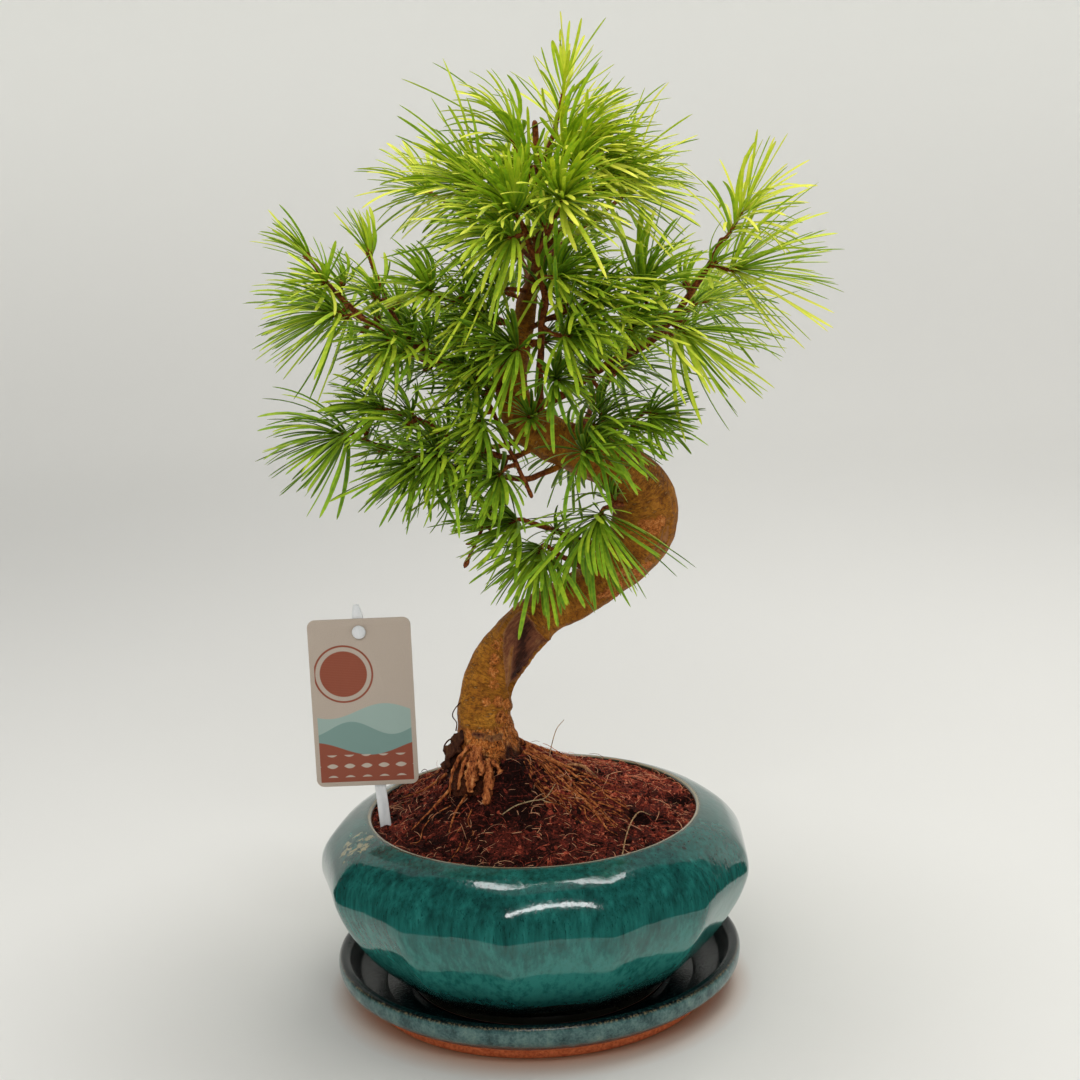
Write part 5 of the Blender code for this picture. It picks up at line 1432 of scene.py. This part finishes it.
def wound_at(spot):
    """Depth, roughness and darkness of the wound, the cracks and the crusts at a spot."""
    x, y, z = spot
    sink = rough = dark = 0.0
    if 100 < z < 150 and y < 3.5:
        deep = inside_depth(x, z, WOUND)
        within = smooth_step(deep / 0.9 + 0.3)
        core = math.exp(-(apart_from((x, 0, z), WOUND_CORE) / 2.6) ** 2) * within
        ridge = math.exp(-(apart_from((x, 0, z), WOUND_RIDGE) / 0.75) ** 2) * within
        sink = 1.2 * smooth_step(deep / 2.0) - 0.7 * math.exp(-((deep + 0.8) / 0.8) ** 2)
        sink += 1.2 * core - 1.3 * ridge
        dark = within * (0.5 + 0.5 * core) * (1.0 - 0.75 * ridge)
    for route in CRACKS:
        if math.dist(spot, route[1]) < 16:
            groove = math.exp(-(apart_from(spot, route) / 0.85) ** 2)
            sink += 1.1 * groove
            dark = max(dark, groove)
    for *place, reach, strength in CRUSTS:
        near = math.dist(spot, place) / reach
        if near < 1.4:
            rough = max(rough, strength * smooth_step(1.4 - near))
    for *place, reach, height in KNOBS:
        near = math.dist(spot, place) / reach
        sink -= height * smooth_step(1.0 - near)
    return sink, rough, dark


def flare_at(height):
    """How much of the foot's ragged bark there is at a height."""
    return smooth_step((106.5 - height) / 7.0)


def bark_relief(spot, turn, run, radius):
    """How far the bark stands out of the trunk's plain shape."""
    place = Vector(spot)
    sink, rough, _ = wound_at(spot)
    flare = flare_at(spot[2])
    size = min(1.0, radius / 6.0)
    round_x, round_y = math.cos(turn) * radius, math.sin(turn) * radius
    grain = noise.noise(Vector((round_x / 2.6, round_y / 2.6, run / 17.0)))
    ring = noise.noise(Vector((round_x / 5.0, round_y / 5.0, run / 1.6)))
    lump = noise.noise(place / 7.0)
    crust = 1.0 - 2.0 * abs(noise.noise(place / 1.7))
    chunk = noise.noise(place / 3.4 + Vector((9.0, 0.0, 0.0)))
    ragged = noise.noise(Vector((round_x / 1.7, round_y / 1.7, run / 8.0)))
    lift = (0.42 * grain + 0.5 * lump + 0.16 * ring) * size
    lift += rough * (0.6 * crust + 0.8 * chunk)
    lift += flare * (0.5 * crust + 1.2 * chunk + 0.35 * ragged)
    furrow = -max(0.0, noise.noise(Vector((math.cos(turn) * 2.4, math.sin(turn) * 2.4,
                                           run / 26.0 + 7.0))) - 0.18) * 1.2
    return (lift + furrow * size) - sink


def trunk_source():
    """The trunk as a fine closed bar."""
    rows = rounded_end(curve_rows(TRUNK, TRUNK_GAP))
    rows[:, 3] *= [1.0 - LEADER_SLIMNESS * smooth_step((row[2] - LEADER_YOUNG) / 14)
                   for row in rows]
    rings, outward = bar_rings(rows, TRUNK_COLUMNS, root_shape)
    runs = lengths_along(rows)
    lifts = np.zeros(rings.shape[:2])
    for i, (row, run) in enumerate(zip(rows, runs)):
        for k in range(TRUNK_COLUMNS):
            lifts[i, k] = bark_relief(tuple(rings[i, k]), math.tau * k / TRUNK_COLUMNS, run, row[3])
    corners = (rings + outward * lifts[..., None]).reshape(-1, 3)
    return corners, bar_faces(len(rows), TRUNK_COLUMNS)


def bough_rows(name, gap=LIMB_GAP):
    """Rows of place and radius along a bough or the trunk."""
    if name == "trunk":
        return curve_rows(TRUNK, gap)
    start, end, route = BOUGHS[name]
    last = len(route) - 1
    return curve_rows([(*spot, start + (end - start) * k / last)
                       for k, spot in enumerate(route)], gap)


def limb_rows(name, draw):
    """A bough's rows with a collar at its foot and small knots along it."""
    rows = bough_rows(name)
    run = lengths_along(rows)
    phase = draw.uniform(0, math.tau)
    knots = np.maximum(0.0, np.sin(run / 7.5 * math.tau + phase)) ** 5
    slim = LIMB_SLIMNESS.get(name, 0.76) * (0.78 + 0.22 * run / run[-1])
    rows[:, 3] *= slim * (1 + 0.35 * np.exp(-run / 5.0) + 0.09 * knots)
    wander = [noise.noise_vector(Vector(row[:3]) / 9.0) for row in rows]
    calm = np.minimum(1.0, run / 12.0) * np.minimum(1.0, (run[-1] - run) / 8.0)
    rows[:, :3] += np.array(wander) * 0.8 * calm[:, None]
    return rounded_end(rows)


def limb_group(finish):
    """A collection of all boughs and twigs, each a closed bar of its own."""
    draw = random.Random(71)
    group = bpy.data.collections.new("limbs")
    bpy.context.scene.collection.children.link(group)
    for name in BOUGHS:
        limb = Bars(LIMB_COLUMNS)
        limb.add(limb_rows(name, draw), rough=0.16, size=1.6)
        item = limb.piece(name, finish)
        item.data.attributes.remove(item.data.attributes["twig"])
        bpy.context.scene.collection.objects.unlink(item)
        group.objects.link(item)
    return group


def build_wood(finish):
    """Roots, trunk, boughs and twigs grown together, with each corner's age and wounds kept."""
    noise.seed_set(WANDER_SEED)
    corners, faces = trunk_source()
    wood = make_piece("trunk_and_boughs", corners, faces, finish)
    group = limb_group(finish)
    join = wood.modifiers.new("join", "BOOLEAN")
    join.operand_type = "COLLECTION"
    join.collection = group
    join.operation = "UNION"
    join.solver = "MANIFOLD"
    mesh = mesh_of(wood)
    wood.modifiers.clear()
    wood.data = mesh
    mesh.name = wood.name
    for item in list(group.objects):
        drop(item)
    bpy.data.collections.remove(group)
    mesh.materials.clear()
    mesh.materials.append(finish)
    mesh.shade_smooth()
    mesh.set_sharp_from_angle(angle=math.radians(55))
    mark_age(mesh)
    settle(wood, "larch bark", "tree_wood")


def stem_table(names):
    """Rows of boughs, their run and frame at each, and a tree that finds the nearest."""
    rows, stems = [], []
    for name in names:
        own = bough_rows(name)
        rows.append(own)
        stems.append(np.column_stack([lengths_along(own), *frames_along(own[:, :3])]))
    rows, stems = np.vstack(rows), np.vstack(stems)
    tree = KDTree(len(rows))
    for k, row in enumerate(rows):
        tree.insert(row[:3], k)
    tree.balance()
    return rows, stems, tree


def mark_age(mesh):
    """Keep each corner's youth, wound, crust and place on its straightened stem."""
    trunk, limbs = stem_table(["trunk"]), stem_table(BOUGHS)
    twig, scar, crust, stem = [], [], [], []
    for vertex in mesh.vertices:
        spot = vertex.co / MM
        rows, stems, tree = trunk
        _, k, apart = tree.find(spot)
        if apart > rows[k, 3] * 1.2 + 1.4:
            rows, stems, tree = limbs
            k = tree.find(spot)[1]
        off = np.array(spot) - rows[k, :3]
        _, rough, dark = wound_at(tuple(spot))
        young = (spot.z - LEADER_YOUNG) / 10 if rows is trunk[0] else (5.2 - rows[k, 3]) / 1.6
        twig.append(held(young))
        scar.append(dark)
        crust.append(max(rough, flare_at(spot.z)))
        stem.append((off @ stems[k, 4:7], off @ stems[k, 7:10], stems[k, 0] + off @ stems[k, 1:4]))
    keep_on(mesh, twig=twig, scar=scar, crust=crust, stem=stem)


def build_roots():
    """Broken stubs, surface roots, shreds and loose fibres round the trunk's foot."""
    finish = root_finish()
    colours = {"pale": 0.8, "hair": 0.6, "leaf": 0.35}
    thin, broken = Bars(10), Bars(22)
    tones = {thin: ([], []), broken: ([], [])}
    for kind, route in (*ROOTS, *shreds(random.Random(55))):
        if kind in LAID_KINDS:
            route = [(x, y, ground(x, y) + lift, radius) for x, y, lift, radius in route]
        bars = broken if kind in BROKEN_KINDS else thin
        rough, size = ROOT_RAGS.get(kind, (0.0, 1.0))
        before = bars.count
        bars.add(rounded_end(curve_rows(route, 0.8)), rough=rough, size=size)
        pale, dark = tones[bars]
        pale += [colours.get(kind, 0.0)] * (bars.count - before)
        dark += [1.0 if kind in ("lump", "wire") else 0.0] * (bars.count - before)
    for name, bars in (("surface_roots", thin), ("root_stubs", broken)):
        pale, dark = tones[bars]
        bars.tones = pale
        item = bars.piece(name, finish, "pale")
        keep_on(item.data, dark=dark)
        settle(item, "larch bark")


def shreds(draw):
    """Long thin root shreds laid over the mix away from the trunk, most to the front right."""
    routes = []
    for k in range(LAID_SHREDS):
        turn = math.radians(draw.gauss(-28, 10) if k % 4 else draw.uniform(0, 360))
        off = draw.uniform(12, 36)
        rows = []
        for step in range(5):
            swing = turn + draw.uniform(-0.07, 0.07)
            x, y = TREE_X + off * math.cos(swing), off * math.sin(swing)
            off += draw.uniform(3.5, 6.5)
            if math.hypot(x, y) > SOIL_R - 3:
                break
            rows.append((x, y, draw.uniform(0.1, 0.6), 0.22 - 0.028 * step))
        if len(rows) > 2:
            routes.append(("root", rows))
    return routes


# Spurs, tufts and needles

def nearest_on_bough(name, place):
    """The point on a bough's middle line nearest to a place."""
    rows = bough_rows(name)[:, :3]
    return rows[np.argmin(np.linalg.norm(rows - place, axis=1))]


def sunlit(place):
    """Painted light and shade in the needles' tint at a place: gold where the light falls at the top,
    right and outer left, deep green in the shade inside and darker low at the front.
    """
    x, y, z = place
    high = held((z - 226) / 92)
    right = held((x - 30) / 50) * held((z - 205) / 30)
    left = held((-x - 40) / 35)
    front = held((-y - 12) / 25)
    return 0.28 + 0.45 * high + 0.2 * right + 0.12 * left - 0.06 * front * (1 - high)


class Tuft:
    """Needles gathered for one piece."""

    def __init__(self):
        self.roots, self.needles = [], []

    def add(self, root, aim, length, droop, sway, draw, tint):
        """One needle, shortened until it lies inside the part's own box."""
        aim = unit(aim)
        own = np.array([draw.gauss(0.0, 0.17) for _ in range(3)])
        bend = unit(aim + sway + own - UP * droop * NEEDLE_FALL * length / 30)
        while length > 4 and not inside_box(root + (aim + bend) * length / 2):
            length *= 0.94
        breadth = draw.uniform(*NEEDLE_BREADTH) * min(1.0, 0.55 + length / 50)
        tint = held(tint + draw.uniform(-0.15, 0.15))
        self.roots.append(root)
        self.needles.append((aim, bend, length * MM, breadth * MM, tint, draw.uniform(-0.6, 0.6)))

    def source(self, name):
        """A source object with a point for each needle."""
        mesh = new_mesh(name, self.roots)
        aim, bend, length, breadth, tint, roll = zip(*self.needles)
        keep_on(mesh, aim=aim, bend=bend, length=length, breadth=breadth, tint=tint, roll=roll)
        return placed(name, mesh)


def inside_box(spot):
    """True where a spot lies within the part's own box."""
    low, high = cad_box
    return all(low[i] / MM + BOX_ROOM < spot[i] < high[i] / MM - BOX_ROOM for i in range(3))


def rosette(tuft, place, axis, form, length, droop, count, draw):
    """Needles leaving a spur's head at golden turns, combed one way, the outer ones widest."""
    side = across(axis)
    other = np.cross(axis, side)
    widest, closest = FORM_LEANS[form]
    start = draw.uniform(0, math.tau)
    # painted light and shade from the spray's place in the crown, with a random tone
    tint = sunlit(place) + draw.uniform(-0.06, 0.06)
    sway = unit((place[0] - CROWN_X, place[1] * 0.7, 0.0)) * OUTWARD
    sway = sway + [draw.gauss(0.0, 0.13) for _ in range(3)]
    rise = NEEDLE_RISE * min(1.0, 2.0 * droop)
    for k in range(count):
        share = (k + 0.5) / count
        lean = math.radians(widest + (closest - widest) * share ** 0.85 + draw.uniform(-8, 8))
        turn = start + GOLDEN_TURN * k + draw.uniform(-0.2, 0.2)
        flat = side * math.cos(turn) + other * math.sin(turn)
        aim = axis * math.cos(lean) + flat * math.sin(lean) + UP * rise
        root = place + axis * (0.4 + 3.0 * share) + flat * 0.6 * (1 - 0.6 * share)
        own = length * (1.06 - 0.2 * share) * draw.uniform(0.7, 1.05)
        stiff = 0.35 if k % STIFF_STEP == STIFF_STEP - 1 else 1.0
        tuft.add(root, aim, own * (1.45 - 0.45 * stiff), droop * stiff * draw.uniform(0.75, 1.25),
                 sway * stiff, draw, tint)


def young_shoot(tuft, place, axis, stem, form, length, droop, count, draw):
    """Needles spiralling up a young shoot, with a brush at its tip."""
    side = across(axis)
    other = np.cross(axis, side)
    widest, closest = FORM_LEANS[form]
    still = np.zeros(3)
    for k in range(count):
        share = (k + 0.5) / count
        lean = math.radians(widest + (closest - widest) * share ** 1.4 + draw.uniform(-8, 8))
        turn = GOLDEN_TURN * k
        flat = side * math.cos(turn) + other * math.sin(turn)
        aim = axis * math.cos(lean) + flat * math.sin(lean)
        root = place + axis * stem * share + flat * 0.5
        own = length * draw.uniform(0.7, 1.05) * (1.0 - 0.15 * share)
        # the needles' tint carries painted light and shade from the shoot's place
        tuft.add(root, aim, own, droop * draw.uniform(0.4, 1.2) * (1 - 0.6 * share), still, draw,
                 sunlit(place) + 0.02)


def spur_rows(foot, place, axis, stem):
    """Rows of a spur or young shoot from inside its bough to its tip."""
    reach = float(np.linalg.norm(place - foot))
    knee = place - axis * reach * 0.45
    knots = [(*foot, SPUR_R * 1.1), (*(foot * 0.25 + knee * 0.5 + place * 0.25), SPUR_R)]
    if stem:
        knots += [(*(place + axis * stem * k / 4), SPUR_R * (1.0 - 0.16 * k)) for k in range(5)]
        return curve_rows(knots, 0.7)
    knots.append((*place, SPUR_R * 1.05))
    knots += [(*(place + axis * out), radius) for out, radius in SPUR_HEAD]
    rows = curve_rows(knots, 0.45)
    run = lengths_along(rows)
    rows[:, 3] *= 1 + 0.1 * np.sin(run / 1.05 * math.tau)
    return rows


def tuft_seats(name, draw):
    """Places, directions and sizes of the small tufts along a bough."""
    rows = bough_rows(name)
    run = lengths_along(rows)
    ways, sides, others = frames_along(rows[:, :3])
    seats = []
    reach = run[-1] * 0.3 + TUFT_LEAD * 0.5
    turn = draw.uniform(0, math.tau)
    while reach < run[-1] - 3:
        i = int(np.searchsorted(run, reach))
        turn += GOLDEN_TURN
        flat = sides[i] * math.cos(turn) + others[i] * math.sin(turn)
        aim = unit(flat + ways[i] * 0.35 + UP * 0.2)
        seats.append((rows[i, :3], rows[i, :3] + aim * (rows[i, 3] + draw.uniform(1.5, 3.0)), aim))
        reach += TUFT_STEP * draw.uniform(0.8, 1.3)
    return seats


def build_foliage(strands, bark):
    """Every spray's spur and needles, and the small tufts along its bough."""
    leaf = leaf_finish()
    spurs = Bars(9)
    dressed = set()
    for order, (name, row) in enumerate(SPRAYS.items()):
        bough, place, aim, form, length, droop, count = row
        draw = random.Random(900 + order)
        place, axis = np.array(place, dtype=float), unit(aim)
        stem = SHOOT_STEM.get(name)
        spurs.add(spur_rows(nearest_on_bough(bough, place), place, axis, stem), rough=0.16,
                  **SPUR_LOOK)
        tuft = Tuft()
        if stem:
            young_shoot(tuft, place, axis, stem, form, length, droop, count, draw)
        else:
            rosette(tuft, place, axis, form, length, droop, count, draw)
        if bough not in BARE_BOUGHS and bough not in dressed:
            dressed.add(bough)
            for foot, seat, way in tuft_seats(bough, draw):
                spurs.add(spur_rows(foot, seat - way * 1.5, way, None), rough=0.12, **SPUR_LOOK)
                rosette(tuft, seat - way * 1.5, way, "rosette", draw.uniform(*TUFT_LENGTH), 0.4,
                        draw.randint(*TUFT_NEEDLES), draw)
        for owner, parent, seat, way, reach, needles in CROWN_TUFTS:
            if owner == name:
                seat, way = np.array(seat, dtype=float), unit(way)
                spurs.add(spur_rows(nearest_on_bough(parent, seat), seat, way, None), rough=0.12,
                          **SPUR_LOOK)
                rosette(tuft, seat, way, "rosette", reach, 0.5, needles, draw)
        source = tuft.source(name)
        needles = grown("needles_" + name, source, strands, Steps=9, Sides=4, Thickness=0.3,
                        Fold=0.18, Finish=leaf)
        drop(source)
        settle(needles, "larch needles", "spray_" + name)
    settle(spurs.piece("spur_shoots", bark), "larch bark")


def build_buds(bark):
    """Buds along the bare twig and at its end."""
    buds = Bars(10)
    rows = bough_rows("bare_twig")
    run = lengths_along(rows)
    ways, sides, others = frames_along(rows[:, :3])
    for k, (share, radius) in enumerate(BUD_TWIG):
        i = min(int(np.searchsorted(run, share * run[-1])), len(rows) - 1)
        turn = 2.1 + math.pi * k
        flat = sides[i] * math.cos(turn) + others[i] * math.sin(turn)
        aim = ways[i] if share == 1.0 else unit(flat + ways[i] * 0.7)
        foot = rows[i, :3]
        buds.add(np.array([[*(foot + aim * (rows[i, 3] * 0.4 + out)), radius * wide]
                           for out, wide in BUD_SHAPE]), tone=1.0, rough=0.2, size=0.8)
    settle(buds.piece("twig_buds", bark), "larch bark")


# Studio

def area_light(name, place, target, size, power, colour):
    """A rectangular soft light aimed at a target."""
    light = bpy.data.lights.new(name, "AREA")
    light.shape = "RECTANGLE"
    light.size, light.size_y = size
    light.energy = power
    light.color = colour
    item = placed(name, light)
    item.location = place
    way = Vector(target) - Vector(place)
    item.rotation_euler = way.to_track_quat("-Z", "Y").to_euler()
    return item


def stage_sheet(name, rows, columns, turns, finish):
    """A turned sheet from (radius, height) rows in metres, over a range of turns."""
    whole = turns[1] - turns[0] > math.tau - 0.01
    count = columns if whole else columns + 1
    corners = []
    for radius, height in rows:
        for k in range(count):
            turn = turns[0] + (turns[1] - turns[0]) * k / columns
            corners.append((radius * math.cos(turn) / MM, radius * math.sin(turn) / MM,
                            height / MM))
    faces = []
    for i in range(len(rows) - 1):
        for k in range(columns):
            nxt = (k + 1) % count
            near, far = i * count, (i + 1) * count
            faces.append((near + k, near + nxt, far + nxt, far + k))
    return make_piece(name, corners, faces, finish)


def build_stage():
    """A pale bowl-shaped backdrop, and a dark room that only reflections see."""
    rows = [(max(radius, 0.001), max(height, 0.0))
            for radius, height in smooth_profile(BACKDROP_SWEEP, 0.05)]
    backdrop = stage_sheet("studio_floor", rows, 96, (0, math.tau), backdrop_finish())
    dark = Finish("dark screen", Roughness=1.0, Specular_IOR_Level=0.0)
    tone = noise_at(dark.place(), 0.004, 2.0)
    dark = dark.done(Base_Color=ramp(tone, (0.3, (0.008, 0.01, 0.01)),
                                     (0.7, (0.016, 0.018, 0.018))))
    screen = stage_sheet("reflection_screen", SCREEN_SWEEP, 40, SCREEN_TURNS, dark)
    for flag in ("visible_camera", "visible_diffuse", "visible_transmission",
                 "visible_volume_scatter", "visible_shadow"):
        setattr(screen, flag, False)


def build_light():
    """Soft overhead light from the right and behind, a strip and a box for shine, pale air."""
    world = bpy.data.worlds.new("studio air")
    world.use_nodes = True
    air = world.node_tree.nodes["Background"].inputs
    air["Color"].default_value = (0.97, 0.985, 1.0, 1.0)
    air["Strength"].default_value = 0.39
    bpy.context.scene.world = world
    key = area_light("overhead", (0.35, 0.3, 1.5), (0, 0, 0.1), (1.1, 0.9), 11.3,
                     (1.0, 0.985, 0.955))
    fill = area_light("front fill", (-0.5, -1.0, 1.1), (0, 0, 0.15), (0.6, 0.5), 1.5, (1, 1, 1))
    for item in (key, fill):
        item.visible_glossy = False
    strip = area_light("shine strip", (0.08, 0.1, 1.1), (0.08, 0.1, 0), (0.86, 0.24), 5.5,
                       (1, 1, 1))
    strip.visible_diffuse = False
    area_light("front box", (0.05, -0.8, 0.85), (0, 0, 0.06), (0.56, 0.1), 2.4, (1, 1, 1))


def build_camera():
    """The camera at the photograph's viewing angle."""
    forward = Vector((0.0, math.cos(CAMERA_PITCH), -math.sin(CAMERA_PITCH)))
    up = Vector((0.0, math.sin(CAMERA_PITCH), math.cos(CAMERA_PITCH)))
    right = Vector((1.0, 0.0, 0.0))
    across_view = right * math.cos(CAMERA_ROLL) + up * math.sin(CAMERA_ROLL)
    up_view = up * math.cos(CAMERA_ROLL) - right * math.sin(CAMERA_ROLL)
    camera = bpy.data.cameras.new("camera")
    camera.lens = CAMERA_LENS
    camera.sensor_width = 36.0
    camera.sensor_fit = "HORIZONTAL"
    camera.clip_start = 0.01
    item = placed("camera", camera)
    axes = Matrix((across_view, up_view, -forward)).transposed().to_4x4()
    item.matrix_world = Matrix.Translation(Vector(CAMERA_PLACE) * MM) @ axes
    bpy.context.scene.camera = item


def main():
    """Dress every node and set the studio."""
    build_camera()
    build_stage()
    build_light()
    bpy.context.scene.view_settings.view_transform = "Standard"
    turned = turned_tree()
    strands = strand_tree()
    build_pot(turned)
    build_saucer(turned)
    build_soil(crumb_tree(), fibre_tree(strands))
    build_label()
    bark = bark_finish()
    build_wood(bark)
    build_roots()
    build_buds(bark)
    build_foliage(strands, bark)


main()
